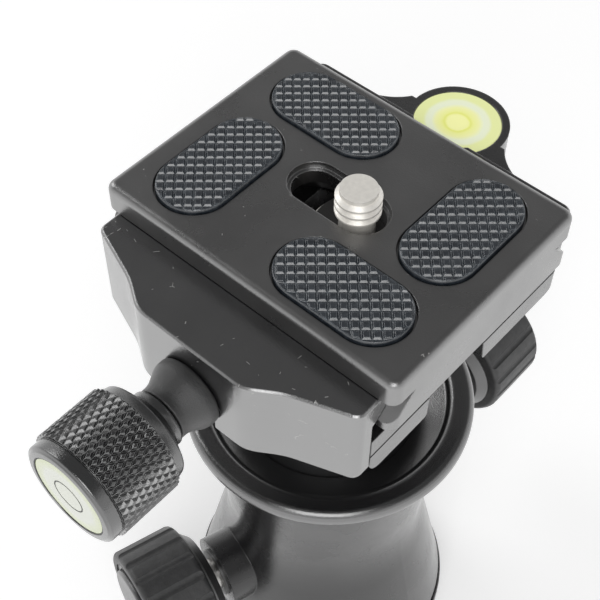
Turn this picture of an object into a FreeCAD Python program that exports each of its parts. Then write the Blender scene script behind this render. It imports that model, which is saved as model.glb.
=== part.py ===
import FreeCAD, Part
import math
import os

# Tripod ball head with a quick-release clamp and plate, in millimetres.
# Origin: mouth of the tripod thread, at the centre of the underside.
# Axes: +Z up, +X along the plate's dovetail, -Y towards the clamp knob.

# Fits and gaps
FIT = 0.05
FLAT_GAP = 0.1
BALL_GAP = 0.15
SOFT_GAP = 0.3

# Tripod thread, 3/8-16
THREAD_MINOR_R = 3.97
INSERT_R = 5.8
INSERT_LENGTH = 13.0
INSERT_LEAD = 0.4

# Pan base
DISC_R = 23.5
DISC_HEIGHT = 8.4
DISC_CHAMFER = 0.8
DISC_WEB = 3.0
WASHER_THICKNESS = 0.5
WASHER_WIDTH = 5.0
SPINDLE_R = 10.9
SPINDLE_FLANGE_R = 13.4
SPINDLE_FLANGE_HEIGHT = 3.0
DRUM_R = 12.4
DRUM_HEIGHT = 10.5
DRUM_GROOVE = 0.8
BASE_SCREW_R = 1.25
BASE_SCREW_HEAD_R = 2.3
BASE_SCREW_CIRCLE_R = 8.4
BASE_SCREW_LENGTH = 9.0
BASE_SCREW_COUNT = 3
RING_NUT_R = 15.5
RING_NUT_HEIGHT = 6.6

# Housing
HOUSING_BOTTOM_R = 23.1
HOUSING_WAIST_R = 16.9
HOUSING_WAIST_HEIGHT = 28.0
HOUSING_SHOULDER_R = 19.2
HOUSING_SWEEP_R = 40.0
HOUSING_SHOULDER_EDGE = 6.0
HOUSING_EDGE = 0.5
SPINDLE_CAVITY_HEIGHT = 22.0
PAN_AXIS_ABOVE_BOTTOM = 17.0
LOCK_AXIS_ABOVE_BOTTOM = 27.5
BALL_ABOVE_LOCK_AXIS = 22.0
SHOULDER_BELOW_BALL = 0.5
NECK_ABOVE_BALL = 3.5

# Ball and stem
BALL_R = 15.0
STEM_R = 6.0
STEM_HEIGHT = 32.5
STEM_FLANGE_R = 8.5
STEM_FLANGE_HEIGHT = 4.2
STEM_CONE_HEIGHT = 3.5
STEM_BOLT_DEPTH = 15.0
CUP_R = 11.5
CUP_FLOOR = 2.4

# Lip ring
LIP_R = 23.3
LIP_WIDTH = 3.9
LIP_HEIGHT = 3.1
LIP_ROUND = 1.4
LIP_ABOVE_BALL = 9.0
FUNNEL_DEPTH = 3.7
THROAT_R = 14.25
RING_THREAD_R = 16.9
RING_SKIRT = 3.6
GRUB_R = 1.0
GRUB_COUNT = 3
GRUB_TURN = 30.0
GRUB_LENGTH = 1.9
NOTCH_GAP = 0.5

# Main lock
PISTON_R = 6.95
PISTON_HEIGHT = 2.6
WEDGE_SLOPE = 0.25
PLUNGER_R = 3.5
PLUNGER_LENGTH = 18.5
PLUNGER_FRONT = 8.0
LOCK_SCREW_R = 3.9
LOCK_NOSE_R = 2.0
LOCK_NOSE_LENGTH = 2.8
LOCK_BUSH_R = 5.5
LOCK_BUSH_LENGTH = 15.0
LOCK_BOSS_R = 8.0
LOCK_BOSS_REACH = 31.8
LOCK_KNOB_R = 11.9
LOCK_KNOB_LENGTH = 16.0
LOCK_KNOB_GAP = 2.6
LOCK_KNOB_WALL = 2.1
LOCK_KNOB_LOBES = 20

# Pan lock
PAN_AZIMUTH = -107.0
PAN_SHOE_R = 2.9
PAN_SHOE_LENGTH = 3.2
PAN_SCREW_R = 2.95
PAN_BUSH_R = 4.4
PAN_BUSH_LENGTH = 5.0
PAN_BOSS_R = 6.5
PAN_BOSS_REACH = 22.6
PAN_KNOB_R = 11.5
PAN_KNOB_LENGTH = 14.0
PAN_KNOB_GAP = 2.0
PAN_KNOB_WALL = 2.0
PAN_KNOB_LOBES = 18
KNOB_CAP_HEIGHT = 1.0

# Quick-release plate
PLATE_LENGTH = 50.0
PLATE_WIDTH = 38.0
PLATE_HEIGHT = 10.0
FLANGE_HEIGHT = 4.1
DOVETAIL_DEPTH = 4.2
PLATE_CORNER_R = 1.6
PLATE_EDGE_R = 1.1
POCKET_HEIGHT = 6.6
POCKET_LENGTH = 27.0
POCKET_WIDTH = 16.0
SLOT_LENGTH = 15.8
SLOT_WIDTH = 7.7
SLOT_LIP = 0.55
SLOT_LIP_DEPTH = 1.1
PAD_LENGTH = 20.2
PAD_GAP = 2.43
PAD_WIDTH = 10.6
PAD_RECESS = 1.0
PAD_PROUD = 0.65
PAD_LONG_FROM_END = 14.44
PAD_LONG_MARGIN = 2.07
PAD_CROSS_FROM_END = 9.25
PAD_CROSS_MARGIN = 2.7

# Camera screw, 1/4-20
CAMERA_SCREW_R = 3.175
CAMERA_PITCH = 1.27
CAMERA_THREAD_DEPTH = 0.6
CAMERA_CREST = 0.32
CAMERA_PROUD = 4.05
CAMERA_LEAD = 0.7
CAMERA_SCREW_X = 3.3
CAMERA_NECK_R = 2.5
CAMERA_HEAD_R = 6.6
CAMERA_HEAD_HEIGHT = 3.0
COIN_SLOT = 1.6
SCREW_WASHER_THICKNESS = 0.6
STOP_SCREW_R = 1.5
STOP_SCREW_INSET = 4.0
STOP_SCREW_LENGTH = 4.0
STOP_SCREW_PROUD = 1.0

# Clamp
CLAMP_LENGTH = 45.6
CLAMP_BACK_WALL = 3.0
JAW_GAP = 0.25
UNDERCUT_GAP = 1.0
JAW_TOP_DROP = 4.3
JAW_HEIGHT = 14.9
JAW_WING_WALL = 2.5
JAW_NECK_X = 13.6
JAW_NECK_WALL = 5.9
JAW_BOSS_X = 9.2
JAW_BOSS_WALL = 8.75
JAW_EDGE = 0.3
BED_DROP = 2.8
STRIP_DROP = 0.3
STRIP_HALF_WIDTH = 9.0
BASE_HEIGHT = 7.8
ARCH_FRONT = -7.5
ARCH_BACK = 4.5
ARCH_HEIGHT = 4.9
GROOVE_HEIGHT = 4.3
GROOVE_DEPTH = 0.4
HUB_R = 11.0
HUB_DROP = 0.5
EAR_R = 7.65
EAR_REACH = 4.0
EAR_FILLET = 9.0
EAR_DROP = 1.2
EAR_HEIGHT = 8.5
CLAMP_BOLT_R = 3.0
CLAMP_BOLT_HEAD_R = 5.0
CLAMP_BOLT_HEAD = 3.4
CLAMP_BOLT_LENGTH = 16.0
BOLT_HEX = 4.0

# Clamp knob and screw
KNOB_AXIS_DROP = 13.25
CLAMP_SCREW_R = 2.45
CLAMP_SCREW_TIP = 8.0
U_SLOT_R = 4.0
JAW_TRAVEL = 2.4
COLLAR_R = 5.25
COLLAR_LENGTH = 5.4
COLLAR_WAIST_R = 3.95
KNOB_NECK_R = 4.3
KNOB_NECK_LENGTH = 1.5
KNOB_R = 8.0
KNOB_BAND_R = 7.55
KNOB_RIM_R = 7.15
KNOB_KNURL_LENGTH = 9.0
KNOB_FRONT_BAND = 2.1
KNOB_BACK_BAND = 1.2
KNOB_CONE = 1.9
PIN_R = 1.25
PIN_X = 15.0
PIN_DROP = 3.5
PIN_LENGTH = 16.0
PIN_IN_JAW = 4.5
SPRING_R = 1.9
SPRING_WIRE_R = 0.25
SPRING_TURNS = 5
SPRING_LENGTH = 5.2

# Spirit levels
EAR_VIAL_R = 6.5
EAR_VIAL_DEPTH = 6.4
KNOB_VIAL_R = 6.1
KNOB_VIAL_DEPTH = 5.8
VIAL_WALL = 1.0
VIAL_WINDOW = 1.2
VIAL_INSET = 0.1
BUBBLE_R = 2.2
BUBBLE_HEIGHT = 0.9

# Heights worked out from the sizes above
HOUSING_BOTTOM = DISC_HEIGHT + WASHER_THICKNESS + FIT
PAN_AXIS = HOUSING_BOTTOM + PAN_AXIS_ABOVE_BOTTOM
LOCK_AXIS = HOUSING_BOTTOM + LOCK_AXIS_ABOVE_BOTTOM
WAIST = HOUSING_BOTTOM + HOUSING_WAIST_HEIGHT
BALL_Z = LOCK_AXIS + BALL_ABOVE_LOCK_AXIS
HOUSING_TOP = BALL_Z + NECK_ABOVE_BALL
LIP_TOP = BALL_Z + LIP_ABOVE_BALL
HUB_BOTTOM = BALL_Z + STEM_HEIGHT
LOBE_BOTTOM = HUB_BOTTOM + HUB_DROP
BED = LOBE_BOTTOM + BASE_HEIGHT
PLATE_BOTTOM = BED + BED_DROP
STRIP_TOP = PLATE_BOTTOM - STRIP_DROP
PLATE_TOP = PLATE_BOTTOM + PLATE_HEIGHT
PAD_CROSS_LENGTH = PLATE_WIDTH - PAD_LONG_MARGIN - PAD_WIDTH - PAD_GAP - PAD_CROSS_MARGIN
LOCK_KNOB_END = LOCK_BOSS_REACH + LOCK_KNOB_GAP + LOCK_KNOB_LENGTH
PAN_KNOB_END = PAN_BOSS_REACH + PAN_KNOB_GAP + PAN_KNOB_LENGTH
JAW_TOP = PLATE_TOP - JAW_TOP_DROP
JAW_BOTTOM = JAW_TOP - JAW_HEIGHT
KNOB_AXIS = PLATE_TOP - KNOB_AXIS_DROP
CUP_BORE_R = CUP_R + 2 * FIT
CAVITY_R = BALL_R + SOFT_GAP
SEAT_R = BALL_R + BALL_GAP
CUP_BOTTOM = BALL_Z - SEAT_R - CUP_FLOOR
CUP_FLOOR_Z = CUP_BOTTOM - SOFT_GAP
CAVITY_FLOOR = BALL_Z - math.sqrt(CAVITY_R ** 2 - CUP_BORE_R ** 2)
SPINDLE_CAVITY_TOP = HOUSING_BOTTOM + SPINDLE_CAVITY_HEIGHT
SPINDLE_CAVITY_R = SPINDLE_FLANGE_R + SOFT_GAP
FLANGE_BOTTOM = HOUSING_BOTTOM + RING_NUT_HEIGHT + 2 * FLAT_GAP
DOVETAIL_IN = PLATE_WIDTH / 2 - DOVETAIL_DEPTH
CLAMP_HALF = CLAMP_LENGTH / 2
UNDERCUT_Y = PLATE_WIDTH / 2 + UNDERCUT_GAP
CLAMP_BACK = UNDERCUT_Y + CLAMP_BACK_WALL
JAW_WING_Y = UNDERCUT_Y + JAW_WING_WALL
JAW_NECK_Y = UNDERCUT_Y + JAW_NECK_WALL
JAW_BOSS_Y = UNDERCUT_Y + JAW_BOSS_WALL
EAR_Y = CLAMP_BACK + EAR_REACH
COLLAR_START = JAW_BOSS_Y + FLAT_GAP
KNOB_START = COLLAR_START + COLLAR_LENGTH + FLAT_GAP

Z_AXIS = FreeCAD.Vector(0, 0, 1)


def rounded_wire(corners, upright=False):
    """Closed outline through (across, along, radius) corners, each rounded by its radius."""
    def place(across, along):
        if upright:
            return FreeCAD.Vector(across, 0, along)
        return FreeCAD.Vector(across, along, 0)

    edges = []
    joins = []
    count = len(corners)
    for index in range(count):
        before = place(*corners[index - 1][:2])
        point = place(*corners[index][:2])
        after = place(*corners[(index + 1) % count][:2])
        radius = corners[index][2]
        back = (before - point).normalize()
        onward = (after - point).normalize()
        if radius == 0:
            joins.append((point, None, point))
            continue
        half = back.getAngle(onward) / 2
        cut = radius / math.tan(half)
        middle = (back + onward).normalize() * (radius / math.sin(half) - radius)
        joins.append((point + back * cut, point + middle, point + onward * cut))
    for index in range(count):
        start = joins[index - 1][2]
        end, middle, leave = joins[index]
        if start.distanceToPoint(end) > 1e-6:
            edges.append(Part.makeLine(start, end))
        if middle is not None:
            edges.append(Part.Arc(end, middle, leave).toShape())
    return Part.Wire(edges)


def slab(corners, bottom, top):
    """Flat outline raised from bottom to top."""
    face = Part.Face(rounded_wire(corners))
    face.translate(FreeCAD.Vector(0, 0, bottom))
    return face.extrude(FreeCAD.Vector(0, 0, top - bottom))


def turned(corners):
    """Solid of revolution about Z from (radius, height, rounding) corners."""
    face = Part.Face(rounded_wire(corners, upright=True))
    return face.revolve(FreeCAD.Vector(0, 0, 0), Z_AXIS, 360)


def rod(radius, bottom, top, x=0.0, y=0.0):
    """Upright cylinder."""
    return Part.makeCylinder(radius, top - bottom, FreeCAD.Vector(x, y, bottom))


def tube(outer, inner, bottom, top, x=0.0, y=0.0):
    """Upright tube."""
    return rod(outer, bottom, top, x, y).cut(rod(inner, bottom - 1, top + 1, x, y))


def block(x0, x1, y0, y1, z0, z1):
    """Box between two corners."""
    return Part.makeBox(x1 - x0, y1 - y0, z1 - z0, FreeCAD.Vector(x0, y0, z0))


def obround(length, width, bottom, top, x=0.0, y=0.0, turn=0.0):
    """Upright obround with its long way along X, turned about Z."""
    half = length / 2 - width / 2
    shape = block(-half, half, -width / 2, width / 2, bottom, top)
    shape = shape.fuse([rod(width / 2, bottom, top, side * half) for side in (-1, 1)])
    shape = shape.removeSplitter()
    shape.rotate(FreeCAD.Vector(0, 0, 0), Z_AXIS, turn)
    shape.translate(FreeCAD.Vector(x, y, 0))
    return shape


def lay(shape, azimuth, height, x=0.0):
    """Turn a shape built up +Z so that +Z points level along an azimuth."""
    shape = shape.copy()
    shape.rotate(FreeCAD.Vector(0, 0, 0), FreeCAD.Vector(0, 1, 0), 90)
    shape.rotate(FreeCAD.Vector(0, 0, 0), Z_AXIS, azimuth)
    shape.translate(FreeCAD.Vector(x, 0, height))
    return shape


def at_height(shape, height):
    """Edges that lie flat at a height."""
    found = []
    for edge in shape.Edges:
        box = edge.BoundBox
        if abs(box.ZMin - height) < 1e-4 and abs(box.ZMax - height) < 1e-4:
            found.append(edge)
    return found


def ring_of(shape, count, start=0.0):
    """Copies of a shape spread evenly about Z."""
    copies = []
    for index in range(count):
        copy = shape.copy()
        copy.rotate(FreeCAD.Vector(0, 0, 0), Z_AXIS, start + index * 360.0 / count)
        copies.append(copy)
    return copies


def save(name, shape):
    """Write one piece, or a group of alike pieces, to its file."""
    shape.exportStep("parts/" + name + ".step")


# Pan base

def base_screw(radius, head_r, length):
    """Countersunk screw with its head at the underside of the disc."""
    lead = head_r - radius
    return turned([(0, INSERT_LEAD, 0), (head_r, INSERT_LEAD, 0), (radius, INSERT_LEAD + lead, 0),
                   (radius, length, 0), (0, length, 0)])


def make_base_disc():
    disc = turned([(INSERT_R, 0, 0), (DISC_R - DISC_CHAMFER, 0, 0), (DISC_R, DISC_CHAMFER, 0),
                   (DISC_R, DISC_HEIGHT, DISC_CHAMFER / 2), (INSERT_R, DISC_HEIGHT, 0)])
    disc = disc.cut(rod(SPINDLE_R + FIT, DISC_WEB, DISC_HEIGHT + 1))
    screw = base_screw(BASE_SCREW_R + FIT, BASE_SCREW_HEAD_R + FIT, BASE_SCREW_LENGTH)
    head_room = rod(BASE_SCREW_HEAD_R + FIT, -1, INSERT_LEAD)
    hole = screw.fuse(head_room)
    hole.translate(FreeCAD.Vector(BASE_SCREW_CIRCLE_R, 0, 0))
    return disc.cut(ring_of(hole, BASE_SCREW_COUNT))


def make_base_screws():
    screw = base_screw(BASE_SCREW_R, BASE_SCREW_HEAD_R, BASE_SCREW_LENGTH)
    screw.translate(FreeCAD.Vector(BASE_SCREW_CIRCLE_R, 0, 0))
    return Part.makeCompound(ring_of(screw, BASE_SCREW_COUNT))


def make_base_spindle():
    flange_top = FLANGE_BOTTOM + SPINDLE_FLANGE_HEIGHT
    drum_top = flange_top + DRUM_HEIGHT
    groove = PAN_SHOE_R + 2 * DRUM_GROOVE
    spindle = turned([(INSERT_R, DISC_WEB, 0), (SPINDLE_R, DISC_WEB, 0), (SPINDLE_R, FLANGE_BOTTOM, 0),
                      (SPINDLE_FLANGE_R, FLANGE_BOTTOM, 0), (SPINDLE_FLANGE_R, flange_top, 0),
                      (DRUM_R, flange_top, 0), (DRUM_R, PAN_AXIS - groove, 0),
                      (DRUM_R - DRUM_GROOVE, PAN_AXIS - groove + DRUM_GROOVE, 0),
                      (DRUM_R - DRUM_GROOVE, PAN_AXIS + groove - DRUM_GROOVE, 0),
                      (DRUM_R, min(PAN_AXIS + groove, drum_top - 0.2), 0), (DRUM_R, drum_top, 0),
                      (INSERT_R, drum_top, 0)])
    hole = rod(BASE_SCREW_R + FIT, 0, BASE_SCREW_LENGTH + 2, BASE_SCREW_CIRCLE_R)
    return spindle.cut(ring_of(hole, BASE_SCREW_COUNT))


def make_thread_insert():
    return turned([(THREAD_MINOR_R, 0, 0), (INSERT_R, 0, 0),
                   (INSERT_R, INSERT_LENGTH, 0), (THREAD_MINOR_R, INSERT_LENGTH, 0)])


def make_ring_nut():
    top = HOUSING_BOTTOM + RING_NUT_HEIGHT
    nut = tube(RING_NUT_R, SPINDLE_R + SOFT_GAP, HOUSING_BOTTOM + FLAT_GAP, top)
    notch = block(RING_NUT_R - 2.4, RING_NUT_R - 1, -1, 1, HOUSING_BOTTOM - 1, HOUSING_BOTTOM + 2)
    return nut.cut(ring_of(notch, 4, 45))


def make_pan_washer():
    outer = HOUSING_BOTTOM_R - 1.0
    return tube(outer, outer - WASHER_WIDTH, DISC_HEIGHT + FIT, HOUSING_BOTTOM)


# Housing

def make_housing():
    shoulder = BALL_Z - SHOULDER_BELOW_BALL
    body = turned([(0, HOUSING_BOTTOM, 0), (HOUSING_BOTTOM_R, HOUSING_BOTTOM, HOUSING_EDGE),
                   (HOUSING_WAIST_R, WAIST, HOUSING_SWEEP_R),
                   (HOUSING_SHOULDER_R, shoulder, HOUSING_SHOULDER_EDGE),
                   (HOUSING_SHOULDER_R, HOUSING_TOP, 0), (0, HOUSING_TOP, 0)])
    body = body.fuse([lay(rod(LOCK_BOSS_R, 0, LOCK_BOSS_REACH), 90, LOCK_AXIS),
                      lay(rod(PAN_BOSS_R, 0, PAN_BOSS_REACH), PAN_AZIMUTH, PAN_AXIS)])
    body = body.removeSplitter()
    cuts = [rod(RING_NUT_R + FIT, HOUSING_BOTTOM - 1, HOUSING_BOTTOM + RING_NUT_HEIGHT),
            rod(SPINDLE_CAVITY_R, HOUSING_BOTTOM, SPINDLE_CAVITY_TOP),
            rod(CAVITY_R, CAVITY_FLOOR, HOUSING_TOP + 1),
            rod(CUP_BORE_R, CUP_FLOOR_Z, CAVITY_FLOOR + 1),
            rod(PISTON_R + FIT, LOCK_AXIS - FLAT_GAP, CUP_FLOOR_Z + 1),
            rod(RING_THREAD_R + FIT, HOUSING_TOP - RING_SKIRT, HOUSING_TOP + 1),
            lay(rod(PLUNGER_R + FIT, -PLUNGER_FRONT - 1.5, LOCK_BOSS_REACH), 90, LOCK_AXIS),
            lay(rod(LOCK_BUSH_R, LOCK_BOSS_REACH - LOCK_BUSH_LENGTH, LOCK_BOSS_REACH + 1), 90, LOCK_AXIS),
            lay(rod(PAN_SHOE_R + FIT, 0, PAN_BOSS_REACH), PAN_AZIMUTH, PAN_AXIS),
            lay(rod(PAN_BUSH_R, PAN_BOSS_REACH - PAN_BUSH_LENGTH, PAN_BOSS_REACH + 1),
                PAN_AZIMUTH, PAN_AXIS)]
    cuts += grub_holes()
    cuts += drop_notch()
    return body.cut(cuts)


def grub_height():
    return HOUSING_TOP - RING_SKIRT / 2


def grub_holes():
    hole = lay(rod(GRUB_R + FIT, RING_THREAD_R - 0.5, HOUSING_SHOULDER_R + 2), 0, grub_height())
    return ring_of(hole, GRUB_COUNT, GRUB_TURN)


def make_lip_grub_screws():
    outer = HOUSING_SHOULDER_R - FLAT_GAP
    screw = rod(GRUB_R, outer - GRUB_LENGTH, outer)
    screw = screw.cut(rod(GRUB_R / 2, outer - GRUB_LENGTH / 2, outer + 1))
    return Part.makeCompound(ring_of(lay(screw, 0, grub_height()), GRUB_COUNT, GRUB_TURN))


def drop_notch():
    """Slot on the -X side that lets the stem drop level."""
    half = STEM_R + NOTCH_GAP
    far = LIP_R + 5
    return [block(-far, -BALL_R / 2, -half, half, BALL_Z, LIP_TOP + 1),
            lay(rod(half, BALL_R / 2, far), 180, BALL_Z)]


def make_lip_ring():
    under = LIP_TOP - LIP_HEIGHT
    inner = LIP_R - LIP_WIDTH
    throat = LIP_TOP - FUNNEL_DEPTH
    ring = turned([(BALL_R - 3, HOUSING_TOP - RING_SKIRT + FLAT_GAP, 0),
                   (RING_THREAD_R, HOUSING_TOP - RING_SKIRT + FLAT_GAP, 0),
                   (RING_THREAD_R, HOUSING_TOP + FIT, 0), (HOUSING_SHOULDER_R, HOUSING_TOP + FIT, 0),
                   (HOUSING_SHOULDER_R + 0.9, under - 1.0, 1.5), (LIP_R, under + 0.3, LIP_ROUND),
                   (LIP_R, LIP_TOP, LIP_ROUND), (inner, LIP_TOP, LIP_ROUND),
                   (inner - 0.4, LIP_TOP - 1.4, 0.8), (THROAT_R, throat, 0.3), (BALL_R - 3, throat - 2, 0)])
    ring = ring.cut(Part.makeSphere(SEAT_R, FreeCAD.Vector(0, 0, BALL_Z)))
    ring = ring.cut(rod(THROAT_R, BALL_Z, LIP_TOP + 1))
    return ring.cut(drop_notch() + grub_seats())


def grub_seats():
    outer = HOUSING_SHOULDER_R - FLAT_GAP
    seat = lay(rod(GRUB_R + FIT, outer - GRUB_LENGTH - FIT, outer), 0, grub_height())
    return ring_of(seat, GRUB_COUNT, GRUB_TURN)


# Ball, cup and main lock

def make_ball():
    top = HUB_BOTTOM - FIT
    stem = turned([(0, BALL_Z, 0), (STEM_R, BALL_Z, 0),
                   (STEM_R, top - STEM_FLANGE_HEIGHT - STEM_CONE_HEIGHT, 1.5),
                   (STEM_FLANGE_R, top - STEM_FLANGE_HEIGHT, 0.6), (STEM_FLANGE_R, top, 0.4), (0, top, 0)])
    ball = Part.makeSphere(BALL_R, FreeCAD.Vector(0, 0, BALL_Z)).fuse(stem)
    return ball.cut(rod(CLAMP_BOLT_R + FIT, top - STEM_BOLT_DEPTH, top + 1))


def make_ball_cup():
    rim = BALL_Z - math.sqrt(SEAT_R ** 2 - CUP_R ** 2) + 0.5
    cup = rod(CUP_R, CUP_BOTTOM, rim)
    cup = cup.cut(Part.makeSphere(SEAT_R, FreeCAD.Vector(0, 0, BALL_Z)))
    return cup.cut(rod(CUP_R / 4, CUP_BOTTOM - 1, CUP_BOTTOM + CUP_FLOOR + 2))


def wedge(clearance):
    """Everything under the sloped plane between plunger and piston."""
    reach = 4 * PISTON_R
    middle = CUP_BOTTOM - PISTON_HEIGHT - clearance
    points = [FreeCAD.Vector(-reach, -reach, middle - WEDGE_SLOPE * reach),
              FreeCAD.Vector(-reach, reach, middle + WEDGE_SLOPE * reach),
              FreeCAD.Vector(-reach, reach, 0), FreeCAD.Vector(-reach, -reach, 0)]
    face = Part.Face(Part.makePolygon(points + points[:1]))
    return face.extrude(FreeCAD.Vector(2 * reach, 0, 0))


def make_lock_piston():
    return rod(PISTON_R, LOCK_AXIS, CUP_BOTTOM - FIT).cut(wedge(0))


def make_lock_plunger():
    back = PLUNGER_LENGTH - PLUNGER_FRONT
    body = lay(rod(PLUNGER_R, -PLUNGER_FRONT, back), 90, LOCK_AXIS)
    under = wedge(FLAT_GAP)
    body = body.common(under)
    socket = lay(rod(LOCK_NOSE_R + FIT, back - LOCK_NOSE_LENGTH - FLAT_GAP, back + 1), 90, LOCK_AXIS)
    return body.cut(socket)


def make_lock_screw():
    back = PLUNGER_LENGTH - PLUNGER_FRONT
    shank = LOCK_SCREW_R - 2 * FIT
    stop = LOCK_KNOB_END - KNOB_CAP_HEIGHT - 3
    screw = turned([(0, back - LOCK_NOSE_LENGTH, 0), (LOCK_NOSE_R, back - LOCK_NOSE_LENGTH, 0.3),
                    (LOCK_NOSE_R, back + FLAT_GAP, 0), (PLUNGER_R - FIT, back + FLAT_GAP, 0),
                    (PLUNGER_R - FIT, LOCK_BOSS_REACH - LOCK_BUSH_LENGTH, 0),
                    (shank, LOCK_BOSS_REACH - LOCK_BUSH_LENGTH + 0.5, 0),
                    (shank, stop, 0), (0, stop, 0)])
    return lay(screw, 90, LOCK_AXIS)


def make_lock_bush():
    return lay(tube(LOCK_BUSH_R, LOCK_SCREW_R, LOCK_BOSS_REACH - LOCK_BUSH_LENGTH, LOCK_BOSS_REACH + 0.6),
               90, LOCK_AXIS)


def make_knob(radius, wall, length, end, lobes, screw_r, azimuth, height):
    """Core, ribbed rubber grip and cap of a locking knob."""
    start = end - length
    face = end - KNOB_CAP_HEIGHT
    core_r = radius - wall
    core = turned([(screw_r, start, 0), (core_r - 1.5, start, 0.6), (core_r, start + 1.5, 0),
                   (core_r, face, 0), (screw_r, face, 0)])
    core = core.cut(rod(core_r - wall / 2, face - 0.6, face + 1))
    grip = turned([(core_r, start + 2, 0), (radius, start + 2, 1.0), (radius, face + 0.3, 0.9),
                   (core_r, face + 0.3, 0)])
    flute_r = math.pi * radius / lobes / 2
    flute = rod(flute_r, start, end + 1, radius + flute_r * 0.62)
    grip = grip.cut(ring_of(flute, lobes))
    cap = turned([(0, face - 0.6, 0), (core_r - wall / 2 - FIT, face - 0.6, 0),
                  (core_r - wall / 2 - FIT, end, 0.6), (0, end, 0)])
    hole = rod(screw_r, 0, face - 3)
    core = core.fuse(rod(core_r - wall, face - 3, face - 0.6))
    return [lay(piece, azimuth, height) for piece in (core.removeSplitter().cut(hole), grip, cap)]


# Pan lock

def make_pan_shoe():
    start = DRUM_R - DRUM_GROOVE + FLAT_GAP
    shoe = lay(rod(PAN_SHOE_R, start - 1, start + PAN_SHOE_LENGTH), PAN_AZIMUTH, PAN_AXIS)
    return shoe.cut(rod(DRUM_R - DRUM_GROOVE + FLAT_GAP, HOUSING_BOTTOM, WAIST))


def make_pan_screw():
    start = DRUM_R - DRUM_GROOVE + PAN_SHOE_LENGTH + 2 * FLAT_GAP
    stop = PAN_KNOB_END - KNOB_CAP_HEIGHT - 3
    shank = PAN_SCREW_R - 2 * FIT
    screw = turned([(0, start, 0), (shank, start, 0.3), (shank, stop, 0), (0, stop, 0)])
    return lay(screw, PAN_AZIMUTH, PAN_AXIS)


def make_pan_bush():
    return lay(tube(PAN_BUSH_R, PAN_SCREW_R, PAN_BOSS_REACH - PAN_BUSH_LENGTH, PAN_BOSS_REACH + 0.4),
               PAN_AZIMUTH, PAN_AXIS)


# Quick-release plate

def pad_places():
    """Name, length, centre and turn of the four pads, each placed from the plate's end and side."""
    long_x = PLATE_LENGTH / 2 - PAD_LONG_FROM_END
    long_y = PLATE_WIDTH / 2 - PAD_LONG_MARGIN - PAD_WIDTH / 2
    cross_x = PLATE_LENGTH / 2 - PAD_CROSS_FROM_END
    cross_y = PLATE_WIDTH / 2 - PAD_CROSS_MARGIN - PAD_CROSS_LENGTH / 2
    return [("pad_front", PAD_LENGTH, long_x, -long_y, 0), ("pad_back", PAD_LENGTH, -long_x, long_y, 0),
            ("pad_left", PAD_CROSS_LENGTH, -cross_x, -cross_y, 90),
            ("pad_right", PAD_CROSS_LENGTH, cross_x, cross_y, 90)]


def make_plate():
    half_x = PLATE_LENGTH / 2
    half_y = PLATE_WIDTH / 2
    corner = PLATE_CORNER_R
    plan = [(-half_x, -half_y, corner), (half_x, -half_y, corner), (half_x, half_y, corner),
            (-half_x, half_y, corner)]
    plate = slab(plan, PLATE_BOTTOM, PLATE_TOP)
    plate = plate.makeFillet(PLATE_EDGE_R, at_height(plate, PLATE_TOP))
    plate = plate.makeChamfer(0.4, at_height(plate, PLATE_BOTTOM))
    waist = PLATE_TOP - FLANGE_HEIGHT
    for side in (-1, 1):
        notch = [(side * (half_y + 5), waist, 0), (side * DOVETAIL_IN, waist, 0),
                 (side * (half_y + 5), waist - DOVETAIL_DEPTH - 5, 0)]
        face = Part.Face(rounded_wire(notch, upright=True))
        cut = face.extrude(FreeCAD.Vector(0, PLATE_LENGTH + 10, 0))
        cut.rotate(FreeCAD.Vector(0, 0, 0), Z_AXIS, 90)
        cut.translate(FreeCAD.Vector(half_x + 5, 0, 0))
        plate = plate.cut(cut)
    cuts = [obround(POCKET_LENGTH, POCKET_WIDTH, PLATE_BOTTOM - 1, PLATE_BOTTOM + POCKET_HEIGHT),
            obround(SLOT_LENGTH, SLOT_WIDTH, PLATE_TOP - SLOT_LIP_DEPTH, PLATE_TOP + 1),
            obround(SLOT_LENGTH - 2 * SLOT_LIP, SLOT_WIDTH - 2 * SLOT_LIP, PLATE_BOTTOM, PLATE_TOP + 1)]
    for name, length, x, y, turn in pad_places():
        cuts.append(obround(length + 2 * SOFT_GAP, PAD_WIDTH + 2 * SOFT_GAP, PLATE_TOP - PAD_RECESS,
                            PLATE_TOP + 1, x, y, turn))
    for x in stop_places():
        cuts.append(rod(STOP_SCREW_R + FIT, PLATE_BOTTOM - 1,
                        PLATE_BOTTOM + STOP_SCREW_LENGTH - STOP_SCREW_PROUD + FLAT_GAP, x))
    return plate.cut(cuts)


def make_pad(length, x, y, turn):
    pad = obround(length, PAD_WIDTH, PLATE_TOP - PAD_RECESS + FIT, PLATE_TOP + PAD_PROUD, x, y, turn)
    return pad.makeChamfer(0.3, at_height(pad, PLATE_TOP + PAD_PROUD))


def stop_places():
    return [side * (PLATE_LENGTH / 2 - STOP_SCREW_INSET) for side in (-1, 1)]


def make_stop_screws():
    bottom = PLATE_BOTTOM - STOP_SCREW_PROUD
    screws = []
    for x in stop_places():
        screw = rod(STOP_SCREW_R, bottom, bottom + STOP_SCREW_LENGTH, x)
        screws.append(screw.cut(rod(STOP_SCREW_R / 2, bottom - 1, bottom + 1.2, x)))
    return Part.makeCompound(screws)


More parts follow.
